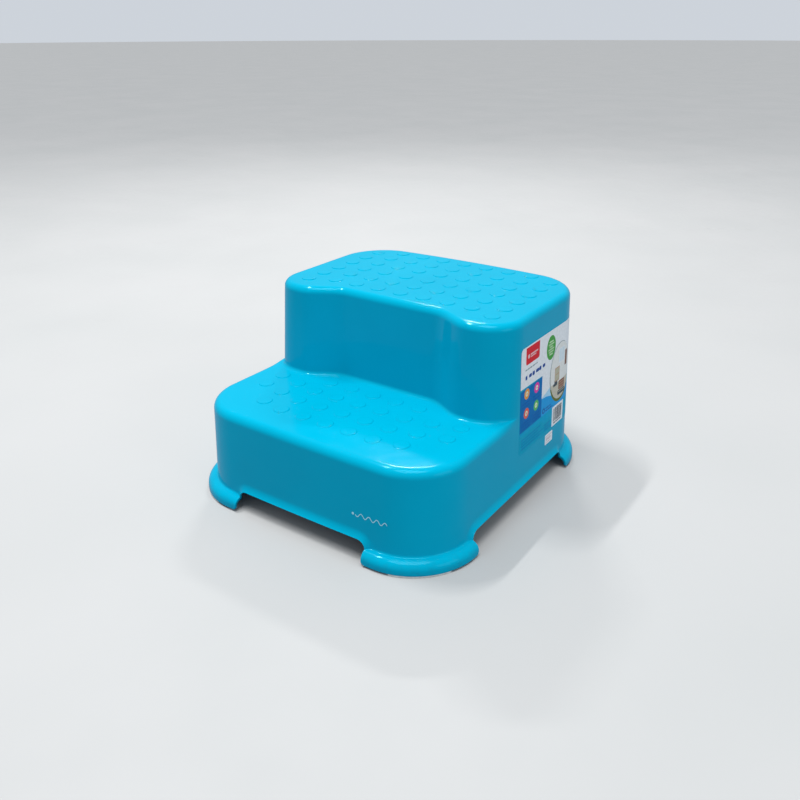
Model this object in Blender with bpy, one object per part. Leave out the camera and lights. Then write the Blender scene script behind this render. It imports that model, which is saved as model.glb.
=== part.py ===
"""Child's two-step stool: one hollow plastic moulding, four press-in foot pads, two stickers.

Metres, +Z up, origin on the floor under the middle of the stool, front of the stool towards -Y.
"""
import math

import bmesh
import bpy
from mathutils import Matrix, Vector
from mathutils.geometry import intersect_point_line

MM = 0.001

# Plan of the walls at floor level, and how they lean in towards the top
HALF_WIDTH = 168 * MM
HALF_DEPTH = 178.5 * MM
CORNER_RADIUS = 66 * MM
FRONT_BOW = 3 * MM
REAR_BOW = 8.5 * MM
SIDE_DRAFT = math.radians(2.3)
END_DRAFT = math.radians(2.95)

# Treads
STEP_HEIGHT = 112 * MM
TOP_HEIGHT = 220 * MM
WALL = 2.8 * MM
STEP_EDGE_RADIUS = 9 * MM
TOP_EDGE_RADIUS = 8 * MM
RISER_FILLET = 4.5 * MM

# Riser between the treads: two rounded ears with a recessed middle
EAR_RADIUS = 42 * MM
EAR_Y = -41 * MM
RECESS_Y = -20.5 * MM
EAR_INNER_X = 112 * MM
RECESS_X = 60 * MM
RISER_DRAFT = math.radians(3.0)

# Open arches between the feet, with a flared lip along their edge
ARCH_HALF_X = 88 * MM
ARCH_HALF_Y = 108 * MM
ARCH_HEIGHT = 24.5 * MM
ARCH_RADIUS = 10 * MM
LIP_OUT = 3.8 * MM
LIP_REACH = 9 * MM

# Feet: round each corner the wall flares out over a hollow, with a cut edge at either end
FOOT_OUT = 11.2 * MM
FOOT_STRAIGHT = 6.1 * MM
FOOT_TOP = 16.2 * MM
FOOT_FILLET = 2.2 * MM
FOOT_SLANT = 1.5 * MM
FOOT_CURVE = 2.2
PLASTIC_BOTTOM = 2.1 * MM
LOW_WALL_TOP = 36 * MM

# Foot pads: a sole strip with a plug that stands in the hollow of the foot
GAP = 0.3 * MM
PAD_START = math.radians(13)
PAD_END = math.radians(63)
PAD_INNER = -2.4 * MM
PAD_INSET = 0.4 * MM
PLUG_START = math.radians(17)
PLUG_END = math.radians(59)
PLUG_INNER = 0.5 * MM
PLUG_OUTER = 7.4 * MM
PLUG_TOP = 6 * MM
PLUG_ROOT = 0.8 * MM

# Raised grip discs
GRIP_RADIUS = 8.8 * MM
GRIP_HEIGHT = 0.8 * MM
GRIP_SINK = 1.2 * MM
GRIP_TAPER = 0.9
GRIP_PITCH_X = 31.4 * MM
GRIP_PITCH_Y = 28.8 * MM
GRIP_COLUMNS = 4
TOP_GRIP_ROWS = 6
TOP_GRIP_REAR_Y = 153.5 * MM
TOP_GRIP_END_SHIFT = -12.6 * MM
STEP_GRIP_ROWS = 4
STEP_GRIP_REAR_Y = -46 * MM
GRIP_SIDES = 12

# Ribs moulded under the treads
RIB_THICK = 2.0 * MM
RIB_DEPTH = 12 * MM
RIB_SINK = 1.2 * MM
RIB_CUT_TRIM = 0.7 * MM
CROSS_RIB_STEP = 0.3 * MM
CROSS_RIB_RISE = 1.0 * MM
RIB_PITCH = 70 * MM
TOP_RIB_Y = 70 * MM
STEP_RIB_Y = -95 * MM

# Stickers on the right-hand wall
LABEL_START_Y = 0.5 * MM
LABEL_WIDTH = 140 * MM
LABEL_LOW = 62.5 * MM
LABEL_HIGH = 188 * MM
LABEL_CORNER = 5.5 * MM
STICKER_START_Y = 68.5 * MM
STICKER_WIDTH = 20 * MM
STICKER_LOW = 46 * MM
STICKER_HIGH = 59 * MM
STICKER_CORNER = 1.2 * MM
FILM = 0.25 * MM

# Mesh fineness
ARC_STEPS = 6
EDGE_STEPS = 3
CORNER_STEPS = 2
FOOT_END_STEPS = 4
EAR_STEPS = 6
# Where the wall's columns meet the riser: recess below 1, bend to 2, ear front to 3, ear arc to 4
BEND_START = 0.9
BEND_END = 1.65
EAR_START = 3.12
SQUEEZE = 1.4
COLUMN_SPACING = 0.5 * MM
PROBE = 1 * MM
WELD_GRID = 0.002 * MM
SLACK = 1e-4 * MM
PAD_STEPS = 10
FILM_CORNER_STEPS = 4
LABEL_COLUMNS = 16
STICKER_COLUMNS = 2
SHARP_ANGLE = math.radians(35)

COLOURS = {
    "stool_blue": ((0.004, 0.40, 0.66, 1.0), 0.28),
    "pad_grey": ((0.78, 0.78, 0.76, 1.0), 0.65),
    "label_print": ((0.80, 0.86, 0.90, 1.0), 0.35),
    "sticker_white": ((0.88, 0.88, 0.88, 1.0), 0.5),
}

FRONT_RUN = HALF_WIDTH - CORNER_RADIUS
ARC_RUN = CORNER_RADIUS * math.pi / 2
SPLIT_Y = EAR_Y + EAR_RADIUS

# Where a foot's flare dies into the wall, and where the round of an arch's corner meets it
SHOULDER_END = math.acos((FOOT_FILLET / FOOT_OUT) ** (FOOT_CURVE / 2))
SHOULDER_Z = FOOT_STRAIGHT + (FOOT_TOP - FOOT_STRAIGHT) * math.sin(SHOULDER_END) ** (2 / FOOT_CURVE)
FLARE_TOP = SHOULDER_Z + FOOT_FILLET
ARCH_BASE = ARCH_HEIGHT - ARCH_RADIUS
CORNER_TURN = math.acos((FLARE_TOP - ARCH_BASE) / ARCH_RADIUS)
CORNER_REACH = ARCH_RADIUS * (1 - math.sin(CORNER_TURN))
FOOT_CORNER = FOOT_STRAIGHT - PLASTIC_BOTTOM

# The rear wall bows out further than the front one, so the middle of the footprint lies behind the
# middle of the plan by half the difference at the feet's inner ends, where they stand out most
FOOT_END_X = ARCH_HALF_X - CORNER_REACH + FOOT_SLANT
FOOT_BOW_SHARE = 1 - (FOOT_END_X / (HALF_WIDTH + FOOT_OUT)) ** 2
FOOTPRINT_MIDDLE_Y = (REAR_BOW - FRONT_BOW) / 2 * FOOT_BOW_SHARE


# ---------------------------------------------------------------- plan curves
def bowed(x, y, half_width, half_depth):
    """Push a plan point out towards the slightly convex front or rear wall."""
    bow = REAR_BOW if y > 0 else -FRONT_BOW
    reach = min(abs(y) / half_depth, 1.0)
    across = min(abs(x) / half_width, 1.0)
    return x, y + bow * (1 - across ** 2) * reach ** 2


def lean(z):
    """How far the riser has leant back at height z."""
    return max(z - STEP_HEIGHT, 0.0) * math.tan(RISER_DRAFT)


def plan_point(run, part, z, inset):
    """Point on the right half of the wall at height z, in one of six runs from front to rear."""
    half_width = HALF_WIDTH - z * math.tan(SIDE_DRAFT) - inset
    half_depth = HALF_DEPTH - z * math.tan(END_DRAFT) - inset
    radius = CORNER_RADIUS - z * math.tan(SIDE_DRAFT) - inset
    straight_x = half_width - radius
    straight_y = half_depth - radius
    if run == "front":
        x, y = straight_x * part, -half_depth
    elif run == "front_arc":
        turn = part * math.pi / 2
        x = straight_x + radius * math.sin(turn)
        y = -straight_y - radius * math.cos(turn)
    elif run == "side_front":
        x = half_width
        y = -straight_y + part * (straight_y + SPLIT_Y + lean(z))
    elif run == "side_rear":
        x = half_width
        y = SPLIT_Y + lean(z) + part * (straight_y - SPLIT_Y - lean(z))
    elif run == "rear_arc":
        turn = part * math.pi / 2
        x = straight_x + radius * math.cos(turn)
        y = straight_y + radius * math.sin(turn)
    else:
        x, y = straight_x * (1 - part), half_depth
    return bowed(x, y, half_width, half_depth)


def smooth_step(t):
    return t * t * (3 - 2 * t)


def riser_offset(part, z, out):
    """Point on the right half of the riser, moved out forwards; part counts 0 to 4 through its runs."""
    half_width = HALF_WIDTH - z * math.tan(SIDE_DRAFT)
    ear_y = EAR_Y + lean(z)
    recess_y = RECESS_Y + lean(z)
    ear_x = half_width - EAR_RADIUS
    turn = 0.0
    if part <= 1:
        x, y = RECESS_X * part, recess_y
    elif part <= 2:
        t = part - 1
        x, y = RECESS_X + (EAR_INNER_X - RECESS_X) * t, recess_y + (ear_y - recess_y) * smooth_step(t)
        turn = math.atan2((ear_y - recess_y) * 6 * t * (1 - t), EAR_INNER_X - RECESS_X)
    elif part <= 3:
        x, y = EAR_INNER_X + (ear_x - EAR_INNER_X) * (part - 2), ear_y
    else:
        turn = (part - 3) * math.pi / 2
        x = ear_x + EAR_RADIUS * math.sin(turn)
        y = ear_y + EAR_RADIUS * (1 - math.cos(turn))
    return x + math.sin(turn) * out, y - math.cos(turn) * out


# ---------------------------------------------------------------- columns
def arch_marks(half_opening, run_end):
    """Distances from an arch's middle where the lower wall needs a column."""
    marks = [0.0, half_opening * 0.5]
    corner = half_opening - ARCH_RADIUS
    for i in range(CORNER_STEPS + 1):
        marks.append(corner + ARCH_RADIUS * math.sin(CORNER_TURN * i / CORNER_STEPS))
    foot_end = half_opening - CORNER_REACH
    for i in range(1, FOOT_END_STEPS + 1):
        marks.append(foot_end + FOOT_SLANT * i / FOOT_END_STEPS)
    for i in range(1, CORNER_STEPS + 1):
        turn = math.pi / 2 * i / CORNER_STEPS
        marks.append(foot_end + FOOT_SLANT + FOOT_CORNER * (1 - math.cos(turn)))
    return [m for m in marks if m < run_end - COLUMN_SPACING]


def wall_columns():
    """Front columns (wall run, part, riser part) and rear columns (wall run, part)."""
    side_run = HALF_DEPTH - CORNER_RADIUS
    front_marks = arch_marks(ARCH_HALF_X, FRONT_RUN)
    side_marks = arch_marks(ARCH_HALF_Y, side_run)
    last = len(front_marks) - 1
    front = [("front", m / FRONT_RUN, BEND_START * i / last) for i, m in enumerate(front_marks)]
    bend = (BEND_END - 1) / ARC_STEPS
    front += [("front_arc", i / ARC_STEPS, 1 + bend * i) for i in range(ARC_STEPS + 1)]
    to_split = side_run + SPLIT_Y
    side = [m for m in reversed(side_marks) if m > 0]
    ear = (EAR_START - BEND_END) / len(side)
    front += [("side_front", (side_run - m) / to_split, BEND_END + ear * (i + 1)) for i, m in enumerate(side)]
    for i in range(1, EAR_STEPS + 1):
        part = EAR_START + (4 - EAR_START) * i / EAR_STEPS
        y = EAR_Y + EAR_RADIUS * (1 - math.cos((part - 3) * math.pi / 2))
        front.append(("side_front", (side_run + y) / to_split, part))
    from_split = side_run - SPLIT_Y
    rear = [("side_rear", (m - SPLIT_Y) / from_split) for m in side_marks if m > 0]
    rear += [("rear_arc", i / ARC_STEPS) for i in range(ARC_STEPS + 1)]
    rear += [("rear", 1 - m / FRONT_RUN) for m in reversed(front_marks)]
    return front, rear


# ---------------------------------------------------------------- lower edge of the wall
def floor_place(run, part):
    """Distance from the nearest arch's middle at floor level, and that arch's half opening."""
    side_run = HALF_DEPTH - CORNER_RADIUS
    if run == "front":
        return FRONT_RUN * part, ARCH_HALF_X
    if run == "rear":
        return FRONT_RUN * (1 - part), ARCH_HALF_X
    if run == "side_front":
        return side_run - part * (side_run + SPLIT_Y), ARCH_HALF_Y
    if run == "side_rear":
        return SPLIT_Y + part * (side_run - SPLIT_Y), ARCH_HALF_Y
    turn = part if run == "front_arc" else 1 - part
    from_front = FRONT_RUN + turn * ARC_RUN
    from_side = side_run + (1 - turn) * ARC_RUN
    if from_front - ARCH_HALF_X < from_side - ARCH_HALF_Y:
        return from_front, ARCH_HALF_X
    return from_side, ARCH_HALF_Y


def foot_profile(level, inset):
    """How far the foot stands out and its height, at a level from 0 at its bottom to 4 on the plain wall.

    Levels 0 to 1 are the upright side, to 2 the rounded shoulder, to 3 the fillet against the wall.
    """
    if level <= 1:
        return FOOT_OUT, PLASTIC_BOTTOM + FOOT_CORNER * level
    if level <= 2:
        turn = (level - 1) * (math.pi / 2 if inset else SHOULDER_END)
        out = FOOT_OUT * max(math.cos(turn), 0.0) ** (2 / FOOT_CURVE)
        rise = FOOT_TOP - FOOT_STRAIGHT - inset
        return out, FOOT_STRAIGHT + rise * math.sin(turn) ** (2 / FOOT_CURVE)
    if level <= 3:
        turn = (level - 2) * math.pi / 2
        if inset:
            return 0.0, FOOT_TOP - inset + (FLARE_TOP - FOOT_TOP + inset) * (level - 2)
        return FOOT_FILLET * (1 - math.sin(turn)), SHOULDER_Z + FOOT_FILLET * (1 - math.cos(turn))
    return 0.0, FLARE_TOP + (LOW_WALL_TOP - FLARE_TOP) * (level - 3)


def wall_level(z):
    """Level of a height on the plain wall above the feet."""
    return 3 + (z - FLARE_TOP) / (LOW_WALL_TOP - FLARE_TOP)


def rim_level(place, half_opening):
    """Level of the moulding's lower edge, a distance from the middle of an arch."""
    place = abs(place)
    corner = half_opening - ARCH_RADIUS
    foot_end = half_opening - CORNER_REACH
    if place <= corner:
        return wall_level(ARCH_HEIGHT)
    if place <= foot_end + SLACK:
        drop = math.sqrt(max(ARCH_RADIUS ** 2 - (place - corner) ** 2, 0.0))
        return max(wall_level(ARCH_BASE + drop), 3.0)
    if place <= foot_end + FOOT_SLANT + SLACK:
        return 3 - 2 * (place - foot_end) / FOOT_SLANT
    turn = min((place - foot_end - FOOT_SLANT) / FOOT_CORNER, 1.0)
    return 1 - math.sqrt(1 - (1 - turn) ** 2)


def lip(place, half_opening, z):
    """How far the wall flares out close to the edge of an arch."""
    dx = abs(place) - (half_opening - ARCH_RADIUS)
    dz = z - ARCH_BASE
    edge = math.hypot(max(dx, 0.0), max(dz, 0.0)) - ARCH_RADIUS
    return LIP_OUT * max(1 - max(edge, 0.0) / LIP_REACH, 0.0) ** 2


def skin_levels(inset):
    """Levels of the lower wall's rows, closer together round the foot's shoulder and the arch's lip."""
    steps = 2 if inset else EDGE_STEPS
    lip_shares = (0.0, 1.0) if inset else (0.0, 0.2, 0.5)
    shoulder = [1 + i / steps for i in range(steps + 1)]
    flare = [wall_level(ARCH_HEIGHT + LIP_REACH * share) for share in lip_shares]
    return [0.0, *shoulder, 3.0, *flare, 4.0]


# ---------------------------------------------------------------- skins
def skin_rows(inset):
    """Rows of right-half points from the lower edge to the top tread, for one skin of the wall."""
    front, rear = wall_columns()
    step_z = STEP_HEIGHT - inset
    top_z = TOP_HEIGHT - inset
    step_r = STEP_EDGE_RADIUS - inset
    top_r = TOP_EDGE_RADIUS - inset
    fillet = RISER_FILLET + inset
    rows = []
    columns = [(run, part) for run, part, _ in front] + rear
    low = [lower_column(run, part, inset) for run, part in columns]
    for level in range(len(low[0])):
        rows.append([column[level] for column in low])
    angles = [math.pi / 2 * i / EDGE_STEPS for i in range(EDGE_STEPS + 1)]
    for a in angles:
        z = step_z - step_r + step_r * math.sin(a)
        rows.append(step_edge_row(front, rear, z, step_r * (1 - math.cos(a)), inset, step_r + fillet))
    for a in angles:
        z = step_z + fillet * (1 - math.cos(a))
        rows.append(riser_row(front, rear, z, fillet * (1 - math.sin(a)), inset, step_r + fillet))
    for a in angles:
        z = top_z - top_r + top_r * math.sin(a)
        rows.append(top_edge_row(front, rear, z, top_r * (1 - math.cos(a)), inset))
    return rows, len(front)


def lower_column(run, part, inset):
    """One column of the lower wall, from its edge up; levels below the edge collapse on to it."""
    place, half_opening = floor_place(run, part)
    rim = rim_level(place, half_opening)
    points = []
    for level in skin_levels(inset):
        out, z = foot_profile(max(level, rim), inset)
        out = max(out, lip(place, half_opening, z))
        points.append((*plan_point(run, part, z, inset - out), z))
    return points


def clearance(point, curve):
    """Shortest distance from a plan point to a curve."""
    best = math.inf
    for start, end in zip(curve, curve[1:]):
        near, share = intersect_point_line(point, start, end)
        near = start.lerp(end, min(max(share, 0.0), 1.0)) if share < 0 or share > 1 else near
        best = min(best, (Vector(near[:2]) - point).length)
    return best


def tread_curves(front, z, inset):
    """The lower wall and the riser face at one height, as matching plan curves."""
    wall = [Vector(plan_point(run, part, z, inset)) for run, part, _ in front]
    riser = [Vector(riser_offset(part, z, -inset)) for _, _, part in front]
    return wall, riser


def step_edge_row(front, rear, z, back, inset, needed):
    """Row of the lower tread's rounded edge; it narrows to nothing where the ear meets the wall."""
    wall, riser = tread_curves(front, z, inset)
    row = []
    for (run, part, _), point in zip(front, wall):
        inward = Vector(plan_point(run, part, z, inset + PROBE)) - point
        room = min(clearance(point, riser) / (needed * SQUEEZE), 1.0)
        point = point + inward / PROBE * back * room
        row.append((point.x, point.y, z))
    row += [(*plan_point(run, part, z, inset), z) for run, part in rear]
    return row


def riser_row(front, rear, z, out, inset, needed):
    """Row of the fillet between tread and riser."""
    wall, riser = tread_curves(front, z, inset)
    row = []
    for (_, _, part), point in zip(front, riser):
        room = min(clearance(point, wall) / (needed * SQUEEZE), 1.0)
        row.append((*riser_offset(part, z, out * room - inset), z))
    row += [(*plan_point(run, part, z, inset), z) for run, part in rear]
    return row


def top_edge_row(front, rear, z, back, inset):
    """Row of the top tread's rounded edge."""
    row = [(*riser_offset(column[2], z, -inset - back), z) for column in front]
    row += [(*plan_point(run, part, z, inset + back), z) for run, part in rear]
    return row


def ring(row):
    """Close a right-half row into a full loop by mirroring it."""
    left = [(-x, y, z) for x, y, z in reversed(row[1:-1])]
    return list(row) + left


class Welder:
    """Adds faces to a bmesh, sharing any corner that is already there."""

    def __init__(self, mesh):
        self.mesh = mesh
        self.known = {}

    def vert(self, point):
        key = tuple(round(c / WELD_GRID) for c in point)
        if key not in self.known:
            self.known[key] = self.mesh.verts.new(point)
        return self.known[key]

    def face(self, points):
        corners = []
        for point in points:
            vert = self.vert(point)
            if vert not in corners:
                corners.append(vert)
        if len(corners) > 2 and not self.mesh.faces.get(corners):
            self.mesh.faces.new(corners)

    def band(self, lower, upper):
        count = len(lower)
        for i in range(count):
            j = (i + 1) % count
            self.face([lower[i], lower[j], upper[j], upper[i]])


# ---------------------------------------------------------------- objects
def clear_scene():
    for old in list(bpy.data.objects):
        bpy.data.objects.remove(old, do_unlink=True)


def material(name):
    colour, roughness = COLOURS[name]
    made = bpy.data.materials.get(name) or bpy.data.materials.new(name)
    made.use_nodes = True
    shader = made.node_tree.nodes["Principled BSDF"]
    shader.inputs["Base Color"].default_value = colour
    shader.inputs["Roughness"].default_value = roughness
    shader.inputs["Metallic"].default_value = 0.0
    return made


def finish_mesh(name, mesh, slot):
    """Turn a bmesh into a named, smooth-shaded object with one material."""
    bmesh.ops.recalc_face_normals(mesh, faces=mesh.faces)
    data = bpy.data.meshes.new(name)
    mesh.to_mesh(data)
    mesh.free()
    data.shade_smooth()
    data.set_sharp_from_angle(angle=SHARP_ANGLE)
    made = bpy.data.objects.new(name, data)
    bpy.context.scene.collection.objects.link(made)
    if slot:
        data.materials.append(material(slot))
    return made


def boolean(target, tool, operation):
    """Apply an exact Boolean and drop the tool."""
    modifier = target.modifiers.new(operation.lower(), "BOOLEAN")
    modifier.operation = operation
    modifier.solver = "EXACT"
    modifier.object = tool
    bpy.context.view_layer.update()
    graph = bpy.context.evaluated_depsgraph_get()
    result = bpy.data.meshes.new_from_object(target.evaluated_get(graph))
    target.modifiers.clear()
    target.data = result
    bpy.data.objects.remove(tool, do_unlink=True)


def tread_outline(edge, riser, count):
    """Outline of the flat lower tread, from the inner side of its rounded edge and the riser's fillet."""
    outline = []
    for row in (edge[:count], riser[:count]):
        left = [(-x, y, z) for x, y, z in reversed(row[1:])]
        path = left + row
        outline += path if not outline else path[::-1]
    return outline


def shell_body():
    """The moulding: outer skin, inner skin and the lower edge that joins them."""
    mesh = bmesh.new()
    weld = Welder(mesh)
    rims = []
    for inset in (0.0, WALL):
        rows, count = skin_rows(inset)
        tread = len(rows) - 2 * (EDGE_STEPS + 1) - 1
        for i in range(len(rows) - 1):
            if i == tread:
                weld.face(tread_outline(rows[i], rows[i + 1], count))
            else:
                weld.band(ring(rows[i]), ring(rows[i + 1]))
        weld.face(ring(rows[-1]))
        rims.append(ring(rows[0]))
    weld.band(*rims)
    return finish_mesh("step_shell", mesh, "stool_blue")


def grip_centres():
    """Centres of the raised discs as (x, y, tread height)."""
    centres = []
    for column in range(-GRIP_COLUMNS, GRIP_COLUMNS + 1):
        x = column * GRIP_PITCH_X
        end = TOP_GRIP_END_SHIFT if abs(column) == GRIP_COLUMNS else 0.0
        for row in range(TOP_GRIP_ROWS):
            centres.append((x, TOP_GRIP_REAR_Y - row * GRIP_PITCH_Y + end, TOP_HEIGHT))
        centres += [(x, y, STEP_HEIGHT) for y in step_grip_rows(abs(column))]
    return centres


def step_grip_rows(column):
    """Rows of discs on the lower tread; the outer columns slide back round the front corners."""
    shift = {GRIP_COLUMNS - 1: 6.5 * MM, GRIP_COLUMNS: 14.5 * MM}.get(column, 0.0)
    first = 0 if column < GRIP_COLUMNS - 1 else 1
    last = STEP_GRIP_ROWS if column < GRIP_COLUMNS else STEP_GRIP_ROWS - 1
    return [STEP_GRIP_REAR_Y - row * GRIP_PITCH_Y + shift for row in range(first, last)]


def grips():
    """All raised discs as one tool mesh, sunk into the treads."""
    mesh = bmesh.new()
    for x, y, z in grip_centres():
        loops = []
        for radius, height in ((GRIP_RADIUS, -GRIP_SINK), (GRIP_RADIUS * GRIP_TAPER, GRIP_HEIGHT)):
            turns = [2 * math.pi * (i + 0.5) / GRIP_SIDES for i in range(GRIP_SIDES)]
            loops.append([mesh.verts.new((x + radius * math.cos(t), y + radius * math.sin(t), z + height))
                          for t in turns])
        mesh.faces.new(loops[0])
        mesh.faces.new(loops[-1])
        for lower, upper in zip(loops, loops[1:]):
            for i in range(GRIP_SIDES):
                j = (i + 1) % GRIP_SIDES
                mesh.faces.new((lower[i], lower[j], upper[j], upper[i]))
    return finish_mesh("grips", mesh, None)


def rib(name, profile, place, along_x):
    """One upright rib: its side profile, as (length, height) points, thickened across."""
    mesh = bmesh.new()
    sides = []
    for half in (-RIB_THICK / 2, RIB_THICK / 2):
        points = [(u, place + half, z) if along_x else (place + half, u, z) for u, z in profile]
        sides.append([mesh.verts.new(point) for point in points])
        mesh.faces.new(sides[-1])
    for i in range(len(profile)):
        j = (i + 1) % len(profile)
        mesh.faces.new((sides[0][i], sides[0][j], sides[1][j], sides[1][i]))
    return finish_mesh(name, mesh, None)


def rib_profile(low, high, top, bottom, low_cut, high_cut):
    """Side profile of a rib, its upper corners cut back to stay inside the rounded tread edge."""
    return [(low, bottom), (high, bottom), (high, top - high_cut), (high - high_cut, top),
            (low + low_cut, top), (low, top - low_cut)]


def ribs(name, tread_z, profile_ends, cuts, y_cross, x_positions):
    """A lattice of ribs under one tread, sunk a little into the walls and the tread above."""
    top = tread_z - WALL + RIB_SINK
    bottom = tread_z - WALL - RIB_DEPTH
    reach = HALF_WIDTH - tread_z * math.tan(SIDE_DRAFT) - WALL + RIB_SINK
    across = rib_profile(-reach, reach, top - CROSS_RIB_STEP, bottom + CROSS_RIB_RISE, cuts[1], cuts[1])
    lattice = rib(name, across, y_cross, True)
    lengthways = rib_profile(*profile_ends, top, bottom, *cuts)
    for x in x_positions:
        boolean(lattice, rib(name + "_lengthways", lengthways, x, False), "UNION")
    return lattice


def top_ribs(columns):
    front = RECESS_Y + lean(TOP_HEIGHT) + WALL - RIB_SINK
    rear = HALF_DEPTH - TOP_HEIGHT * math.tan(END_DRAFT) - WALL + RIB_SINK
    cut = TOP_EDGE_RADIUS - WALL - RIB_CUT_TRIM
    return ribs("top_ribs", TOP_HEIGHT, (front, rear), (cut, cut), TOP_RIB_Y, columns)


def step_ribs(columns):
    front = -(HALF_DEPTH - STEP_HEIGHT * math.tan(END_DRAFT) - WALL + RIB_SINK)
    rear = RECESS_Y - RISER_FILLET - 2 * RIB_SINK
    cut = STEP_EDGE_RADIUS - WALL - RIB_CUT_TRIM
    return ribs("step_ribs", STEP_HEIGHT, (front, rear), (cut, cut), STEP_RIB_Y, columns)


def corner_frame(side, end):
    """Plan centre of a corner's arc at the floor, and its half width and depth signs."""
    return side * (HALF_WIDTH - CORNER_RADIUS), end * (HALF_DEPTH - CORNER_RADIUS)


def corner_path(side, end, start, stop, offset):
    """Plan points round one corner, offset outwards from the wall, angles from the front or rear."""
    centre_x, centre_y = corner_frame(side, end)
    points = []
    for i in range(PAD_STEPS + 1):
        turn = start + (stop - start) * i / PAD_STEPS
        radius = CORNER_RADIUS + offset
        x = centre_x + side * radius * math.sin(turn)
        y = centre_y + end * radius * math.cos(turn)
        points.append(bowed(x, y, HALF_WIDTH, HALF_DEPTH))
    return points


def strip_solid(mesh, side, end, angles, offsets, levels):
    """A curved bar that follows a corner between two offsets and two heights."""
    inner = corner_path(side, end, *angles, offsets[0])
    outer = corner_path(side, end, *angles, offsets[1])
    outline = inner + outer[::-1]
    low = [mesh.verts.new((x, y, levels[0])) for x, y in outline]
    high = [mesh.verts.new((x, y, levels[1])) for x, y in outline]
    mesh.faces.new(low)
    mesh.faces.new(high)
    for i in range(len(low)):
        j = (i + 1) % len(low)
        mesh.faces.new((low[i], low[j], high[j], high[i]))


def feet():
    """Every foot: name, side, end and the angles its pad covers."""
    quarter = math.pi / 2
    for side, side_name in ((-1, "left"), (1, "right")):
        yield "foot_pad_front_" + side_name, side, -1, lambda angle: angle
        yield "foot_pad_rear_" + side_name, side, 1, lambda angle: quarter - angle


def step_shell():
    shell = shell_body()
    columns = [i * RIB_PITCH for i in (-1, 0, 1)]
    boolean(shell, top_ribs(columns), "UNION")
    boolean(shell, step_ribs(columns), "UNION")
    boolean(shell, grips(), "UNION")
    return shell


def foot_pad(name, side, end, turned):
    """One pad: a sole strip with a plug standing on it."""
    mesh = bmesh.new()
    sole = sorted((turned(PAD_START), turned(PAD_END)))
    strip_solid(mesh, side, end, sole, (PAD_INNER, FOOT_OUT - PAD_INSET), (0.0, PLASTIC_BOTTOM - GAP))
    pad = finish_mesh(name, mesh, "pad_grey")
    mesh = bmesh.new()
    plug = sorted((turned(PLUG_START), turned(PLUG_END)))
    strip_solid(mesh, side, end, plug, (PLUG_INNER, PLUG_OUTER), (PLUG_ROOT, PLUG_TOP))
    boolean(pad, finish_mesh(name + "_plug", mesh, None), "UNION")
    return pad


def side_surface(along, z, out):
    """Point off the right-hand wall, along metres back from mid depth, following the rear corner."""
    half_width = HALF_WIDTH - z * math.tan(SIDE_DRAFT)
    half_depth = HALF_DEPTH - z * math.tan(END_DRAFT)
    radius = CORNER_RADIUS - z * math.tan(SIDE_DRAFT)
    flat = half_depth - radius
    if along <= flat:
        return half_width + out, along, z
    turn = (along - flat) / radius
    x = half_width - radius + (radius + out) * math.cos(turn)
    y = flat + (radius + out) * math.sin(turn)
    return (*bowed(x, y, half_width, half_depth), z)


def film(name, slot, start, width, low, high, corner, columns):
    """A thin sticker with rounded corners, lying just off the wall."""
    inner, outer = [], []
    rounding = [corner * (1 - math.cos(math.pi / 2 * i / FILM_CORNER_STEPS))
                for i in range(FILM_CORNER_STEPS + 1)]
    marks = rounding + [corner + (width - 2 * corner) * i / columns for i in range(1, columns)]
    marks += [width - m for m in reversed(rounding)]
    for mark in marks:
        near = min(mark, width - mark)
        cut = corner - math.sqrt(max(corner ** 2 - max(corner - near, 0.0) ** 2, 0.0))
        for stack, out in ((inner, GAP), (outer, GAP + FILM)):
            stack.append([side_surface(start + mark, z, out) for z in (low + cut, high - cut)])
    mesh = bmesh.new()
    weld = Welder(mesh)
    for i in range(len(marks) - 1):
        for stack in (inner, outer):
            weld.face([stack[i][0], stack[i + 1][0], stack[i + 1][1], stack[i][1]])
        for edge in (0, 1):
            weld.face([inner[i][edge], inner[i + 1][edge], outer[i + 1][edge], outer[i][edge]])
    for i in (0, -1):
        weld.face([inner[i][0], inner[i][1], outer[i][1], outer[i][0]])
    return finish_mesh(name, mesh, slot)


def main():
    clear_scene()
    step_shell()
    for name, side, end, turned in feet():
        foot_pad(name, side, end, turned)
    film("side_label", "label_print", LABEL_START_Y, LABEL_WIDTH, LABEL_LOW, LABEL_HIGH,
         LABEL_CORNER, LABEL_COLUMNS)
    film("price_sticker", "sticker_white", STICKER_START_Y, STICKER_WIDTH, STICKER_LOW, STICKER_HIGH,
         STICKER_CORNER, STICKER_COLUMNS)
    for piece in bpy.data.objects:
        piece.data.transform(Matrix.Translation((0, -FOOTPRINT_MIDDLE_Y, 0)))


main()
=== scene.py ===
"""Looks of the child's step stool: fine moulding, pads, printed label, materials, light and camera.

Everything is worked out in the stool's plan frame (metres, front towards -Y, middle of the plan at the
origin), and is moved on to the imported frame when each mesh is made.
"""
import random
from math import acos, atan2, ceil, cos, dist, floor, hypot, inf, pi, radians, sin, sqrt, tan

import bmesh
import bpy
from mathutils import Matrix, Vector
from mathutils.geometry import delaunay_2d_cdt, intersect_point_line


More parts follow.
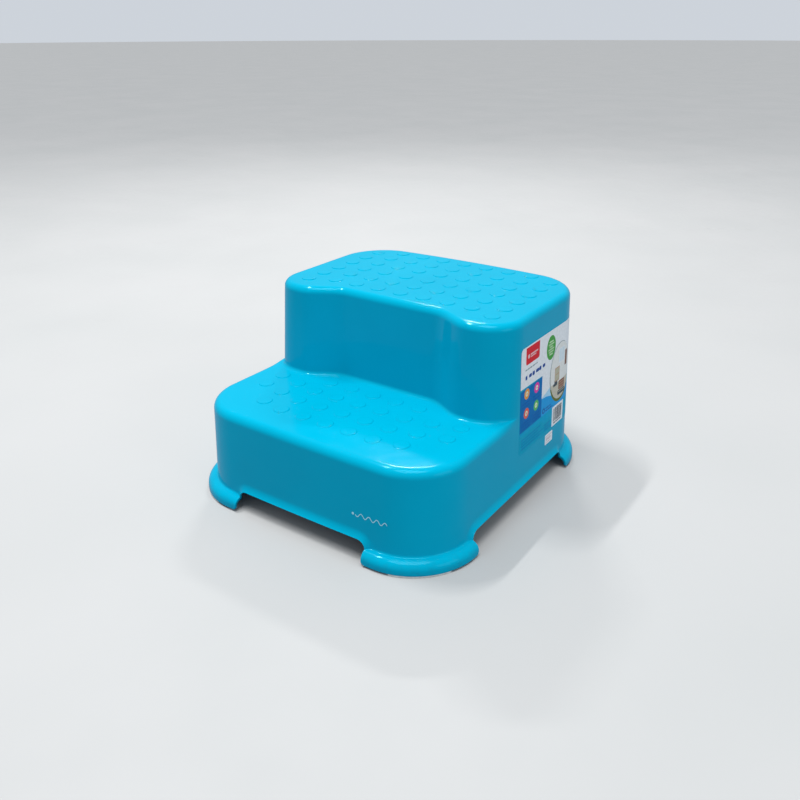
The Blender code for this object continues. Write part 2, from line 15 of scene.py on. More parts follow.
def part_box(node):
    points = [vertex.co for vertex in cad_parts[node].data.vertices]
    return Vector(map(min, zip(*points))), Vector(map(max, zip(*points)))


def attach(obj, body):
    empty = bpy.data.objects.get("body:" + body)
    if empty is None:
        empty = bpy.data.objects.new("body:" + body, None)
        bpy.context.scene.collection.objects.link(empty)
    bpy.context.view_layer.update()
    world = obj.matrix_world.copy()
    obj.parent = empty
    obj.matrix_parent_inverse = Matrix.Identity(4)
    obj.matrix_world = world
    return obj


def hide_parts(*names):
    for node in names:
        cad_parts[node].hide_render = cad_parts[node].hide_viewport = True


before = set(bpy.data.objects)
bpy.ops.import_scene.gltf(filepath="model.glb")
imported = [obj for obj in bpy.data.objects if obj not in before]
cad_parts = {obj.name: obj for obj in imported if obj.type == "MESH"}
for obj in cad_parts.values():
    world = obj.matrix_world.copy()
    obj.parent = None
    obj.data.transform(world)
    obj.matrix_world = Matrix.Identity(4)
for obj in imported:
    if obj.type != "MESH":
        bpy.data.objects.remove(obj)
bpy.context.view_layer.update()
shell_low, shell_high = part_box("step_shell")
label_low, label_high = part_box("side_label")
sticker_low, sticker_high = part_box("price_sticker")
pad_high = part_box("foot_pad_front_right")[1]

MM = 0.001
QUARTER = pi / 2

# Leans of the walls
SIDE_DRAFT = radians(2.3)
END_DRAFT = radians(2.95)
RISER_DRAFT = radians(3.0)

# Raised grip discs
GRIP_HEIGHT = 0.8 * MM
GRIP_RADIUS = 8.8 * MM
GRIP_PITCH_X = 31.4 * MM
GRIP_PITCH_Y = 28.8 * MM
GRIP_COLUMNS = 4
TOP_GRIP_ROWS = 6
TOP_GRIP_REAR_Y = 153.5 * MM
TOP_GRIP_END_SHIFT = -12.6 * MM
STEP_GRIP_ROWS = 4
STEP_GRIP_REAR_Y = -46 * MM
STEP_GRIP_SHIFTS = {GRIP_COLUMNS - 1: 6.5 * MM, GRIP_COLUMNS: 14.5 * MM}

# Arches and feet
ARCH_HALF_X = 88 * MM
ARCH_HALF_Y = 108 * MM
ARCH_HEIGHT = 24.5 * MM
ARCH_RADIUS = 10 * MM
LIP_OUT = 3.8 * MM
LIP_REACH = 9 * MM
FOOT_OUT = 11.2 * MM
FOOT_STRAIGHT = 6.1 * MM
FOOT_TOP = 16.2 * MM
FOOT_FILLET = 2.2 * MM
FOOT_SLANT = 1.5 * MM
FOOT_CURVE = 2.2
LOW_WALL_TOP = 36 * MM
EDGE_ROUND = 0.5 * MM

# Sizes read from the frame
PLASTIC_BOTTOM = shell_low.z
HALF_WIDTH = shell_high.x - FOOT_OUT + PLASTIC_BOTTOM * tan(SIDE_DRAFT)
TOP_HEIGHT = shell_high.z - GRIP_HEIGHT

# Walls and treads
HALF_DEPTH = 178.5 * MM
CORNER_RADIUS = 66 * MM
FRONT_BOW = 3 * MM
REAR_BOW = 8.5 * MM
STEP_HEIGHT = 112 * MM
WALL = 2.8 * MM
STEP_EDGE_RADIUS = 9 * MM
TOP_EDGE_RADIUS = 8 * MM
RISER_FILLET = 4.5 * MM

# Riser
EAR_RADIUS = 42 * MM
EAR_Y = -41 * MM
RECESS_Y = -20.5 * MM
EAR_INNER_X = 112 * MM
RECESS_X = 60 * MM

# Derived shapes
FRONT_RUN = HALF_WIDTH - CORNER_RADIUS
SIDE_RUN = HALF_DEPTH - CORNER_RADIUS
ARC_RUN = CORNER_RADIUS * QUARTER
SPLIT_Y = EAR_Y + EAR_RADIUS
SHOULDER_END = acos((FOOT_FILLET / FOOT_OUT) ** (FOOT_CURVE / 2))
SHOULDER_Z = FOOT_STRAIGHT + (FOOT_TOP - FOOT_STRAIGHT) * sin(SHOULDER_END) ** (2 / FOOT_CURVE)
FLARE_TOP = SHOULDER_Z + FOOT_FILLET
ARCH_BASE = ARCH_HEIGHT - ARCH_RADIUS
CORNER_TURN = acos((FLARE_TOP - ARCH_BASE) / ARCH_RADIUS)
CORNER_REACH = ARCH_RADIUS * (1 - sin(CORNER_TURN))
FOOT_CORNER = FOOT_STRAIGHT - PLASTIC_BOTTOM
FOOT_END_X = ARCH_HALF_X - CORNER_REACH + FOOT_SLANT
FOOT_BOW_SHARE = 1 - (FOOT_END_X / (HALF_WIDTH + FOOT_OUT)) ** 2
PLAN_SHIFT = -(REAR_BOW - FRONT_BOW) / 2 * FOOT_BOW_SHARE

# Fineness
ARC_STEPS = 26
EDGE_STEPS = 9
FILLET_STEPS = 7
SHOULDER_STEPS = 12
CORNER_STEPS = 9
FOOT_END_STEPS = 14
ARCH_STEPS = 9
RECESS_STEPS = 12
BEND_STEPS = 22
EAR_FRONT_STEPS = 4
EAR_ARC_STEPS = 28
SIDE_STEPS = 16
FLARE_STEPS = 3
LIP_STEPS = 7
RIM_STEPS = 4
GUARD = 0.7 * MM
SQUEEZE = 1.4
SQUEEZE_POWER = 8
PROBE = 1 * MM
WELD_GRID = 0.001 * MM
SLACK = 1e-4 * MM
LIP_BLEND = 1.2 * MM
SHARP_ANGLE = radians(50)


# ---- plan curves
def bowed(x, y, half_width, half_depth):
    """Push a plan point out towards the slightly convex front or rear wall."""
    bow = REAR_BOW if y > 0 else -FRONT_BOW
    reach = min(abs(y) / half_depth, 1.0)
    across = min(abs(x) / half_width, 1.0)
    return x, y + bow * (1 - across ** 2) * reach ** 2


def lean(z):
    """How far the riser has leant back at height z."""
    return max(z - STEP_HEIGHT, 0.0) * tan(RISER_DRAFT)


def wall_size(z, inset=0.0):
    """Half width, half depth and corner radius of the walls at height z."""
    side_in = z * tan(SIDE_DRAFT) + inset
    end_in = z * tan(END_DRAFT) + inset
    return HALF_WIDTH - side_in, HALF_DEPTH - end_in, CORNER_RADIUS - side_in


def plan_point(run, part, z, inset):
    """Point on the right half of the wall at height z, in one of six runs from front to rear."""
    half_width, half_depth, radius = wall_size(z, inset)
    straight_x = half_width - radius
    straight_y = half_depth - radius
    if run == "front":
        x, y = straight_x * part, -half_depth
    elif run == "front_arc":
        turn = part * QUARTER
        x = straight_x + radius * sin(turn)
        y = -straight_y - radius * cos(turn)
    elif run == "side_front":
        x = half_width
        y = -straight_y + part * (straight_y + SPLIT_Y + lean(z))
    elif run == "side_rear":
        x = half_width
        y = SPLIT_Y + lean(z) + part * (straight_y - SPLIT_Y - lean(z))
    elif run == "rear_arc":
        turn = part * QUARTER
        x = straight_x + radius * cos(turn)
        y = straight_y + radius * sin(turn)
    else:
        x, y = straight_x * (1 - part), half_depth
    return bowed(x, y, half_width, half_depth)


def riser_offset(part, z, out):
    """Point on the right half of the riser, moved out forwards; part counts 0 to 4 through its runs."""
    ear_y = EAR_Y + lean(z)
    recess_y = RECESS_Y + lean(z)
    ear_x = wall_size(z)[0] - EAR_RADIUS
    turn = 0.0
    if part <= 1:
        x, y = RECESS_X * part, recess_y
    elif part <= 2:
        t = part - 1
        x = RECESS_X + (EAR_INNER_X - RECESS_X) * t
        y = recess_y + (ear_y - recess_y) * t * t * (3 - 2 * t)
        turn = atan2((ear_y - recess_y) * 6 * t * (1 - t), EAR_INNER_X - RECESS_X)
    elif part <= 3:
        x, y = EAR_INNER_X + (ear_x - EAR_INNER_X) * (part - 2), ear_y
    else:
        turn = (part - 3) * QUARTER
        x = ear_x + EAR_RADIUS * sin(turn)
        y = ear_y + EAR_RADIUS * (1 - cos(turn))
    return x + sin(turn) * out, y - cos(turn) * out


# ---- columns
def steps(count, start=0.0, end=1.0):
    return [start + (end - start) * i / count for i in range(count + 1)]


def arch_marks(half_opening, run_end):
    """Distances from an arch's middle where the lower wall needs a column."""
    corner = half_opening - ARCH_RADIUS
    foot_end = half_opening - CORNER_REACH
    marks = steps(ARCH_STEPS, 0.0, corner)
    marks += [corner + ARCH_RADIUS * sin(t) for t in steps(CORNER_STEPS, 0.0, CORNER_TURN)[1:]]
    marks += steps(FOOT_END_STEPS, foot_end, foot_end + FOOT_SLANT)[1:]
    rounding = steps(CORNER_STEPS, 0.0, QUARTER)[1:]
    marks += [foot_end + FOOT_SLANT + FOOT_CORNER * (1 - cos(t)) for t in rounding]
    marks += [marks[-1] + (run_end - marks[-1]) / 2]
    return [m for m in marks if m < run_end - GUARD]


def wall_columns():
    """Front and rear wall columns as (run, part), from mid front to mid rear."""
    front_marks = arch_marks(ARCH_HALF_X, FRONT_RUN)
    side_marks = arch_marks(ARCH_HALF_Y, SIDE_RUN)
    front = [("front", m / FRONT_RUN) for m in front_marks]
    front += [("front_arc", t) for t in steps(ARC_STEPS)]
    to_split = SIDE_RUN + SPLIT_Y
    front += [("side_front", (SIDE_RUN - m) / to_split) for m in reversed(side_marks) if m > EAR_RADIUS]
    front += [("side_front", (SIDE_RUN + SPLIT_Y - EAR_RADIUS * (1 - t) ** 2) / to_split)
              for t in steps(SIDE_STEPS)]
    from_split = SIDE_RUN - SPLIT_Y
    rear = [("side_rear", (m - SPLIT_Y) / from_split) for m in side_marks if m > SPLIT_Y + GUARD]
    rear += [("rear_arc", t) for t in steps(ARC_STEPS)]
    rear += [("rear", 1 - m / FRONT_RUN) for m in reversed(front_marks)]
    return front, rear


def riser_parts():
    """Where the riser's columns stand, as parts 0 to 4 along its curve."""
    parts = steps(RECESS_STEPS)
    parts += steps(BEND_STEPS, 1, 2)[1:]
    parts += steps(EAR_FRONT_STEPS, 2, 3)[1:]
    return parts + steps(EAR_ARC_STEPS, 3, 4)[1:]


# ---- lower edge of the wall
def floor_place(run, part):
    """Distance from the nearest arch's middle at floor level, and that arch's half opening."""
    if run == "front":
        return FRONT_RUN * part, ARCH_HALF_X
    if run == "rear":
        return FRONT_RUN * (1 - part), ARCH_HALF_X
    if run == "side_front":
        return SIDE_RUN - part * (SIDE_RUN + SPLIT_Y), ARCH_HALF_Y
    if run == "side_rear":
        return SPLIT_Y + part * (SIDE_RUN - SPLIT_Y), ARCH_HALF_Y
    turn = part if run == "front_arc" else 1 - part
    from_front = FRONT_RUN + turn * ARC_RUN
    from_side = SIDE_RUN + (1 - turn) * ARC_RUN
    if from_front - ARCH_HALF_X < from_side - ARCH_HALF_Y:
        return from_front, ARCH_HALF_X
    return from_side, ARCH_HALF_Y


def foot_profile(level, inset):
    """How far the foot stands out and its height, at a level from 0 at its foot to 4 on the plain wall.

    Levels 0 to 1 are the upright side, to 2 the rounded shoulder, to 3 the fillet against the wall.
    """
    if level <= 1:
        return FOOT_OUT, PLASTIC_BOTTOM + EDGE_ROUND + (FOOT_CORNER - EDGE_ROUND) * level
    if level <= 2:
        turn = (level - 1) * (QUARTER if inset else SHOULDER_END)
        out = FOOT_OUT * max(cos(turn), 0.0) ** (2 / FOOT_CURVE)
        rise = FOOT_TOP - FOOT_STRAIGHT - inset
        return out, FOOT_STRAIGHT + rise * sin(turn) ** (2 / FOOT_CURVE)
    if level <= 3:
        turn = (level - 2) * QUARTER
        if inset:
            return 0.0, FOOT_TOP - inset + (FLARE_TOP - FOOT_TOP + inset) * (level - 2)
        return FOOT_FILLET * (1 - sin(turn)), SHOULDER_Z + FOOT_FILLET * (1 - cos(turn))
    return 0.0, FLARE_TOP + (LOW_WALL_TOP - FLARE_TOP) * (level - 3)


def wall_level(z):
    """Level of a height on the plain wall above the feet."""
    return 3 + (z - FLARE_TOP) / (LOW_WALL_TOP - FLARE_TOP)


def rim_level(place, half_opening):
    """Level of the moulding's lower edge, a distance from the middle of an arch."""
    place = abs(place)
    corner = half_opening - ARCH_RADIUS
    foot_end = half_opening - CORNER_REACH
    if place <= corner:
        return wall_level(ARCH_HEIGHT)
    if place <= foot_end + SLACK:
        drop = sqrt(max(ARCH_RADIUS ** 2 - (place - corner) ** 2, 0.0))
        return max(wall_level(ARCH_BASE + drop), 3.0)
    if place <= foot_end + FOOT_SLANT + SLACK:
        return 3 - 2 * (place - foot_end) / FOOT_SLANT
    turn = min((place - foot_end - FOOT_SLANT) / FOOT_CORNER, 1.0)
    return 1 - sqrt(1 - (1 - turn) ** 2)


def lip(place, half_opening, z):
    """How far the wall flares out close to the edge of an arch."""
    dx = abs(place) - (half_opening - ARCH_RADIUS)
    dz = z - ARCH_BASE
    edge = hypot(max(dx, 0.0), max(dz, 0.0)) - ARCH_RADIUS
    return LIP_OUT * max(1 - max(edge, 0.0) / LIP_REACH, 0.0) ** 2


def smooth_max(a, b, blend):
    """The larger of two values, rounded where they meet; nothing is added where either is zero."""
    blend = min(blend, a, b)
    if blend <= 0:
        return max(a, b)
    near = max(blend - abs(a - b), 0.0) / blend
    return max(a, b) + near * near * blend / 4


def skin_levels():
    """Levels of the lower wall's rows, closer together round the foot's shoulder and the arch's lip."""
    levels = [0.0, 0.5] + steps(SHOULDER_STEPS, 1, 2) + steps(FILLET_STEPS, 2, 3)[1:]
    flare = [wall_level(FLARE_TOP + (ARCH_HEIGHT - FLARE_TOP) * t) for t in steps(FLARE_STEPS)[1:]]
    flare += [wall_level(ARCH_HEIGHT + LIP_REACH * t) for t in steps(LIP_STEPS)[1:]]
    return levels + flare + [4.0]


# ---- skins
def lower_column(run, part, inset):
    """One column of the lower wall, from its edge up; levels below the edge collapse on to it."""
    place, half_opening = floor_place(run, part)
    rim = rim_level(place, half_opening)
    points = []
    for level in skin_levels():
        out, z = foot_profile(max(level, rim), inset)
        out = smooth_max(out, lip(place, half_opening, z), LIP_BLEND)
        points.append((*plan_point(run, part, z, inset - out), z))
    return points


def clearance(point, curve):
    """Shortest distance from a plan point to a curve."""
    best = inf
    for start, end in zip(curve, curve[1:]):
        near, share = intersect_point_line(point, start, end)
        near = start.lerp(end, min(max(share, 0.0), 1.0)) if share < 0 or share > 1 else near
        best = min(best, (Vector(near[:2]) - point).length)
    return best


def room(point, curve, needed):
    """Share of its full size that a rounded edge keeps where another curve comes close."""
    share = clearance(point, curve) / (needed * SQUEEZE)
    return share / (1 + share ** SQUEEZE_POWER) ** (1 / SQUEEZE_POWER)


def edge_rows(z, radius):
    """(height, setback) of the rows that round a tread's outer edge, from the wall to the flat."""
    rounding = [(z - radius * (1 - sin(t)), radius * (1 - cos(t)))
                for t in steps(EDGE_STEPS, 0, QUARTER)]
    return [(z - radius - GUARD, 0.0)] + rounding + [(z, radius + GUARD)]


class Skin:
    """Rows of one skin of the wall, from the lower edge to the top tread."""

    def __init__(self, inset):
        self.inset = inset
        self.front, self.rear = wall_columns()
        self.parts = riser_parts()
        self.step_z = STEP_HEIGHT - inset
        self.top_z = TOP_HEIGHT - inset
        step_r = STEP_EDGE_RADIUS - inset
        top_r = TOP_EDGE_RADIUS - inset
        fillet = RISER_FILLET + inset
        self.needed = step_r + fillet
        self.low = self.lower_rows(step_r)
        self.high = self.upper_rows(fillet, top_r)

    def curves(self, z):
        wall = [Vector(plan_point(run, part, z, self.inset)) for run, part in self.front]
        riser = [Vector(riser_offset(part, z, -self.inset)) for part in self.parts]
        return wall, riser

    def rear_points(self, z, back=0.0):
        return [(*plan_point(run, part, z, self.inset + back), z) for run, part in self.rear]

    def lower_rows(self, step_r):
        """Rows from the lower edge to the flat of the lower tread."""
        columns = [lower_column(run, part, self.inset) for run, part in self.front + self.rear]
        rows = [list(row) for row in zip(*columns)]
        for z, back in edge_rows(self.step_z, step_r):
            wall, riser = self.curves(z)
            row = []
            for (run, part), point in zip(self.front, wall):
                inward = Vector(plan_point(run, part, z, self.inset + PROBE)) - point
                moved = point + inward / PROBE * back * room(point, riser, self.needed)
                row.append((moved.x, moved.y, z))
            rows.append(row + self.rear_points(z))
        return rows

    def upper_rows(self, fillet, top_r):
        """Rows from the flat of the lower tread, up the riser, to the flat of the top tread."""
        rows = []
        foot = [(self.step_z, fillet + GUARD)]
        foot += [(self.step_z + fillet * (1 - cos(t)), fillet * (1 - sin(t)))
                 for t in steps(EDGE_STEPS, 0, QUARTER)]
        foot.append((self.step_z + fillet + GUARD, 0.0))
        for z, out in foot:
            wall, riser = self.curves(z)
            row = [(*riser_offset(part, z, out * room(point, wall, self.needed) - self.inset), z)
                   for part, point in zip(self.parts, riser)]
            rows.append(row + self.rear_points(z))
        for z, back in edge_rows(self.top_z, top_r):
            row = [(*riser_offset(part, z, -self.inset - back), z) for part in self.parts]
            rows.append(row + self.rear_points(z, back))
        return rows

    def step_outline(self):
        """Outline of the flat part of the lower tread."""
        outline = []
        for row, count in ((self.low[-1], len(self.front)), (self.high[0], len(self.parts))):
            half = row[:count]
            path = [(-x, y, z) for x, y, z in reversed(half[1:])] + half
            outline += path if not outline else path[::-1]
        return outline


def ring(row):
    """Close a right-half row into a full loop by mirroring it."""
    return list(row) + [(-x, y, z) for x, y, z in reversed(row[1:-1])]


def put(name, data):
    """New object in the scene."""
    made = bpy.data.objects.new(name, data)
    bpy.context.scene.collection.objects.link(made)
    return made


class Mesher:
    """Collects faces and shares any corner that is already there."""

    def __init__(self):
        self.points = []
        self.known = {}
        self.faces = []
        self.tints = []
        self.seen = set()
        self.paint = 0

    def vert(self, point):
        key = tuple(round(c / WELD_GRID) for c in point)
        if key not in self.known:
            self.known[key] = len(self.points)
            self.points.append(tuple(point))
        return self.known[key]

    def face(self, corners):
        found = []
        for corner in corners:
            index = self.vert(corner)
            if index not in found:
                found.append(index)
        key = frozenset(found)
        if len(found) > 2 and key not in self.seen:
            self.seen.add(key)
            self.faces.append(found)
            self.tints.append(self.paint)

    def band(self, lower, upper):
        """Closed band of faces between two loops."""
        for i in range(len(lower)):
            self.face([lower[i - 1], lower[i], upper[i], upper[i - 1]])

    def build(self, name, slot, surfaces, node=None):
        """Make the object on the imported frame, on the stool's body, standing for a CAD node if named."""
        data = bpy.data.meshes.new(name)
        data.from_pydata([(x, y + PLAN_SHIFT, z) for x, y, z in self.points], [], self.faces)
        data.polygons.foreach_set("material_index", self.tints)
        data.update()
        solid = bmesh.new()
        solid.from_mesh(data)
        bmesh.ops.recalc_face_normals(solid, faces=solid.faces)
        solid.to_mesh(data)
        solid.free()
        data.shade_smooth()
        data.set_sharp_from_angle(angle=SHARP_ANGLE)
        for surface in surfaces:
            data.materials.append(surface)
        made = put(name, data)
        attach(made, "root")
        if node:
            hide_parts(node)


# ---- treads and grip discs
def step_grip_rows(column):
    """Rows of discs on the lower tread; the outer columns slide back round the front corners."""
    shift = STEP_GRIP_SHIFTS.get(column, 0.0)
    first = 0 if column < GRIP_COLUMNS - 1 else 1
    last = STEP_GRIP_ROWS if column < GRIP_COLUMNS else STEP_GRIP_ROWS - 1
    return [STEP_GRIP_REAR_Y - row * GRIP_PITCH_Y + shift for row in range(first, last)]


def grip_centres(upper):
    """Plan centres of the raised discs on one tread."""
    centres = []
    for column in range(-GRIP_COLUMNS, GRIP_COLUMNS + 1):
        x = column * GRIP_PITCH_X
        end = TOP_GRIP_END_SHIFT if abs(column) == GRIP_COLUMNS else 0.0
        if upper:
            centres += [(x, TOP_GRIP_REAR_Y - row * GRIP_PITCH_Y + end) for row in range(TOP_GRIP_ROWS)]
        else:
            centres += [(x, y) for y in step_grip_rows(abs(column))]
    return centres


GRIP_SIDES = 48
INSIDE_RING = 0.996
# (outwards from the disc's radius, up from the tread) in mm, from the tread to the disc's flat
GRIP_PROFILE = [(0.75, 0.0), (0.42, 0.0), (0.22, 0.05), (0.08, 0.17), (0.0, 0.34), (-0.12, 0.55),
                (-0.32, 0.71), (-0.62, 0.79), (-1.1, 0.8), (-1.6, 0.8)]


def grip_ring(centre, z, out, rise):
    turns = [2 * pi * i / GRIP_SIDES for i in range(GRIP_SIDES)]
    radius = GRIP_RADIUS + out * MM
    x, y = centre
    return [(x + radius * cos(t), y + radius * sin(t), z + rise * MM) for t in turns]


def tread(mesher, outline, centres):
    """Flat tread inside an outline, with a domed disc at each centre."""
    z = outline[0][2]
    flat = []
    for point in outline:
        if not flat or dist(point, flat[-1]) > WELD_GRID * 2:
            flat.append(point)
    if dist(flat[0], flat[-1]) < WELD_GRID * 2:
        flat.pop()
    edges = [(i, (i + 1) % len(flat)) for i in range(len(flat))]
    for centre in centres:
        rings = [grip_ring(centre, z, out, rise) for out, rise in GRIP_PROFILE]
        for lower, upper in zip(rings, rings[1:]):
            mesher.band(lower, upper)
        mesher.face(rings[-1])
        first = len(flat)
        flat += rings[0]
        edges += [(first + i, first + (i + 1) % GRIP_SIDES) for i in range(GRIP_SIDES)]
    found = delaunay_2d_cdt([Vector(p[:2]) for p in flat], edges, [], 1, WELD_GRID / 10)
    reach = (GRIP_RADIUS + GRIP_PROFILE[0][0] * MM) * INSIDE_RING
    for triangle in found[2]:
        corners = [flat[found[3][i][0]] for i in triangle]
        middle = sum((Vector(p[:2]) for p in corners), Vector((0, 0))) / len(corners)
        if all((middle - Vector(c)).length > reach for c in centres):
            mesher.face(corners)


# ---- the moulding
def rim_rounding(outer, inner):
    """Rows that round the cut edge between the outer and inner skins."""
    count = len(outer)
    rows = [[] for _ in range(2 * RIM_STEPS)]
    for i in range(count):
        start, end = Vector(outer[i]), Vector(inner[i])
        across = (end - start).normalized()
        along = Vector(outer[(i + 1) % count]) - Vector(outer[i - 1])
        along += Vector(inner[(i + 1) % count]) - Vector(inner[i - 1])
        away = across.cross(along).normalized()
        if away.z > 0:
            away.negate()
        for k in range(RIM_STEPS):
            turn = QUARTER * (k + 1) / RIM_STEPS
            forward = EDGE_ROUND * sin(turn)
            side = EDGE_ROUND * (1 - cos(turn))
            rows[k].append(tuple(start + away * forward + across * side))
            rows[-1 - k].append(tuple(end + away * forward - across * side))
    return rows


def step_shell(surface):
    """The whole moulding as one closed surface."""
    mesher = Mesher()
    outer, inner = Skin(0.0), Skin(WALL)
    for skin in (outer, inner):
        for rows in (skin.low, skin.high):
            for lower, upper in zip(rows, rows[1:]):
                mesher.band(ring(lower), ring(upper))
        visible = skin is outer
        tread(mesher, skin.step_outline(), grip_centres(False) if visible else [])
        tread(mesher, ring(skin.high[-1]), grip_centres(True) if visible else [])
    outside, inside = ring(outer.low[0]), ring(inner.low[0])
    rim = [outside] + rim_rounding(outside, inside) + [inside]
    for lower, upper in zip(rim, rim[1:]):
        mesher.band(lower, upper)
    mesher.build("stool_moulding", "stool_blue", [surface], "step_shell")


# ---- ribs under the treads
RIB_THICK = 2 * MM
RIB_DEPTH = 12 * MM
RIB_SINK = 1.2 * MM
RIB_PITCH = 70 * MM
RIB_CUT_TRIM = 0.9 * MM
RIB_EDGE = 0.5 * MM
TOP_RIB_Y = 70 * MM
STEP_RIB_Y = -95 * MM
CROSS_RIB_STEP = 0.3 * MM
CROSS_RIB_RISE = 1.0 * MM
BAR_EDGE_STEPS = 4


def rib_row(mesher, ends, place, heights, cut, along_x):
    """One upright rib with a rounded lower edge, its upper corners cut back inside the tread's edge."""
    top, bottom = heights
    half = RIB_THICK / 2
    rounding = [(sin(t), cos(t)) for t in steps(BAR_EDGE_STEPS, 0, QUARTER)]
    side = [(half - RIB_EDGE * (1 - c), bottom + RIB_EDGE * (1 - s)) for s, c in rounding]
    section = [(half, top), (half, top - cut)] + side
    section += [(-across, z) for across, z in reversed(section)]
    loops = []
    for end, inward in ((ends[0], 1), (ends[1], -1)):
        loop = []
        for across, z in section:
            along = end + inward * max(cut - (top - z), 0.0)
            loop.append((along, place + across, z) if along_x else (place + across, along, z))
        loops.append(loop)
    mesher.band(loops[0], loops[1])
    for loop in loops:
        mesher.face(loop)


def tread_ribs(surface):
    """The lattice of ribs under both treads."""
    mesher = Mesher()
    columns = [i * RIB_PITCH for i in (-1, 0, 1)]
    top_front = RECESS_Y + lean(TOP_HEIGHT) + WALL - RIB_SINK
    top_rear = HALF_DEPTH - TOP_HEIGHT * tan(END_DRAFT) - WALL + RIB_SINK
    step_front = -(HALF_DEPTH - STEP_HEIGHT * tan(END_DRAFT) - WALL + RIB_SINK)
    step_rear = RECESS_Y - RISER_FILLET - 2 * RIB_SINK
    lattices = ((TOP_HEIGHT, (top_front, top_rear), TOP_EDGE_RADIUS, TOP_RIB_Y),
                (STEP_HEIGHT, (step_front, step_rear), STEP_EDGE_RADIUS, STEP_RIB_Y))
    for tread_z, ends, edge, cross_y in lattices:
        heights = (tread_z - WALL + RIB_SINK, tread_z - WALL - RIB_DEPTH)
        cut = edge - WALL - RIB_CUT_TRIM
        for x in columns:
            rib_row(mesher, ends, x, heights, cut, False)
        reach = HALF_WIDTH - tread_z * tan(SIDE_DRAFT) - WALL + RIB_SINK
        heights = (heights[0] - CROSS_RIB_STEP, heights[1] + CROSS_RIB_RISE)
        rib_row(mesher, (-reach, reach), cross_y, heights, cut, True)
    mesher.build("tread_ribs", "stool_blue", [surface])


# ---- pads under the feet
PAD_START = radians(13)
PAD_END = radians(63)
PAD_INNER = -2.4 * MM
PAD_OUTER = FOOT_OUT - 0.4 * MM
PAD_TOP = PLASTIC_BOTTOM - 0.3 * MM
PAD_EDGE = 0.35 * MM
PAD_CORNER = 2 * MM
PLUG_START = radians(17)
PLUG_END = radians(59)
PLUG_INNER = 0.5 * MM
PLUG_OUTER = 7.4 * MM
PLUG_CORNER = 1.4 * MM
PLUG_ROOT = 1.0 * MM
PAD_STEPS = 44
PAD_CORNER_STEPS = 8
PAD_PINCH = 0.98


def corner_cut(radius, near):
    """How far a rounded corner cuts in, at a distance from the end of a bar or a box."""
    return radius - sqrt(max(radius ** 2 - max(radius - near, 0.0) ** 2, 0.0))


def strip_points(side, end, angles, offsets, corner, levels, edge, front):
    """Rounded bar round a corner: one loop of (x, y, z) per place along it."""
    low, high = levels
    centre_x = side * (HALF_WIDTH - CORNER_RADIUS)
    centre_y = end * (HALF_DEPTH - CORNER_RADIUS)
    radius = CORNER_RADIUS + (offsets[0] + offsets[1]) / 2
    length = (angles[1] - angles[0]) * radius
    rounding = [corner * (1 - cos(t)) for t in steps(PAD_CORNER_STEPS, 0, QUARTER)]
    marks = rounding + [corner + (length - 2 * corner) * k / PAD_STEPS for k in range(1, PAD_STEPS)]
    marks += [length - m for m in reversed(rounding)]
    arc = [(1 - cos(t), 1 - sin(t)) for t in steps(BAR_EDGE_STEPS, 0, QUARTER)]
    loops = []
    for mark in marks:
        squeeze = corner_cut(corner, min(mark, length - mark)) * PAD_PINCH
        inner, outer = offsets[0] + squeeze, offsets[1] - squeeze
        turn = angles[0] + mark / radius
        turn = turn if front else QUARTER - turn
        section = [(outer - edge * across, low + edge * up) for across, up in reversed(arc)]
        section += [(outer - edge * across, high - edge * up) for across, up in arc]
        section += [(inner + edge * across, high - edge * up) for across, up in reversed(arc)]
        section += [(inner + edge * across, low + edge * up) for across, up in arc]
        loop = []
        for offset, z in section:
            reach = CORNER_RADIUS + offset
            x = centre_x + side * reach * sin(turn)
            y = centre_y + end * reach * cos(turn)
            loop.append((*bowed(x, y, HALF_WIDTH, HALF_DEPTH), z))
        loops.append(loop)
    return loops


def foot_pads(surface):
    """The four pads, each a sole strip with a plug on it that stands up inside the foot."""
    for side, side_name in ((-1, "left"), (1, "right")):
        for end, end_name in ((-1, "front"), (1, "rear")):
            name = f"foot_pad_{end_name}_{side_name}"
            mesher = Mesher()
            bars = (((PAD_START, PAD_END), (PAD_INNER, PAD_OUTER), PAD_CORNER, (0.0, PAD_TOP)),
                    ((PLUG_START, PLUG_END), (PLUG_INNER, PLUG_OUTER), PLUG_CORNER,
                     (PLUG_ROOT, pad_high.z)))
            for angles, offsets, corner, levels in bars:
                loops = strip_points(side, end, angles, offsets, corner, levels, PAD_EDGE, end < 0)
                for lower, upper in zip(loops, loops[1:]):
                    mesher.band(lower, upper)
                for loop in (loops[0], loops[-1]):
                    mesher.face(loop)
            mesher.build(name + "_rubber", "pad_grey", [surface], name)


# ---- printed films
ART = 0.112 * MM
FILM_BACK = 0.03 * MM
FILM_FACE = 0.13 * MM
LAYER = 0.02 * MM
ROW_HEIGHT = 14 * MM
BEND_MARK = 11
BEND_FROM = SIDE_RUN * 0.92
MARK_STEPS = 9
MARK_GAP = 0.05
OVAL_ENDS = 0.999
WAVE_STEPS = 16
WAVE_TIP = 0.15
# Lines of print: lengths, gap and rounding in shares of their height, and the end left free at most
BLOCK_LENGTHS = (1.2, 4.5)
BLOCK_GAP = 0.6
BLOCK_ROUND = 0.3
RAGGED = 0.3


def side_surface(along, z, out):
    """Point off the right-hand wall, along metres back from mid depth, following the rear corner."""
    half_width, half_depth, radius = wall_size(z)
    flat = half_depth - radius
    if along <= flat:
        return half_width + out, along, z
    turn = (along - flat) / radius
    x = half_width - radius + (radius + out) * cos(turn)
    y = flat + (radius + out) * sin(turn)
    return (*bowed(x, y, half_width, half_depth), z)


def front_surface(along, z, out):
    """Point off the front wall, along metres to the right of the middle."""
    half_width, half_depth, _ = wall_size(z)
    x, y = bowed(along, -half_depth, half_width, half_depth)
    return x, y - out, z


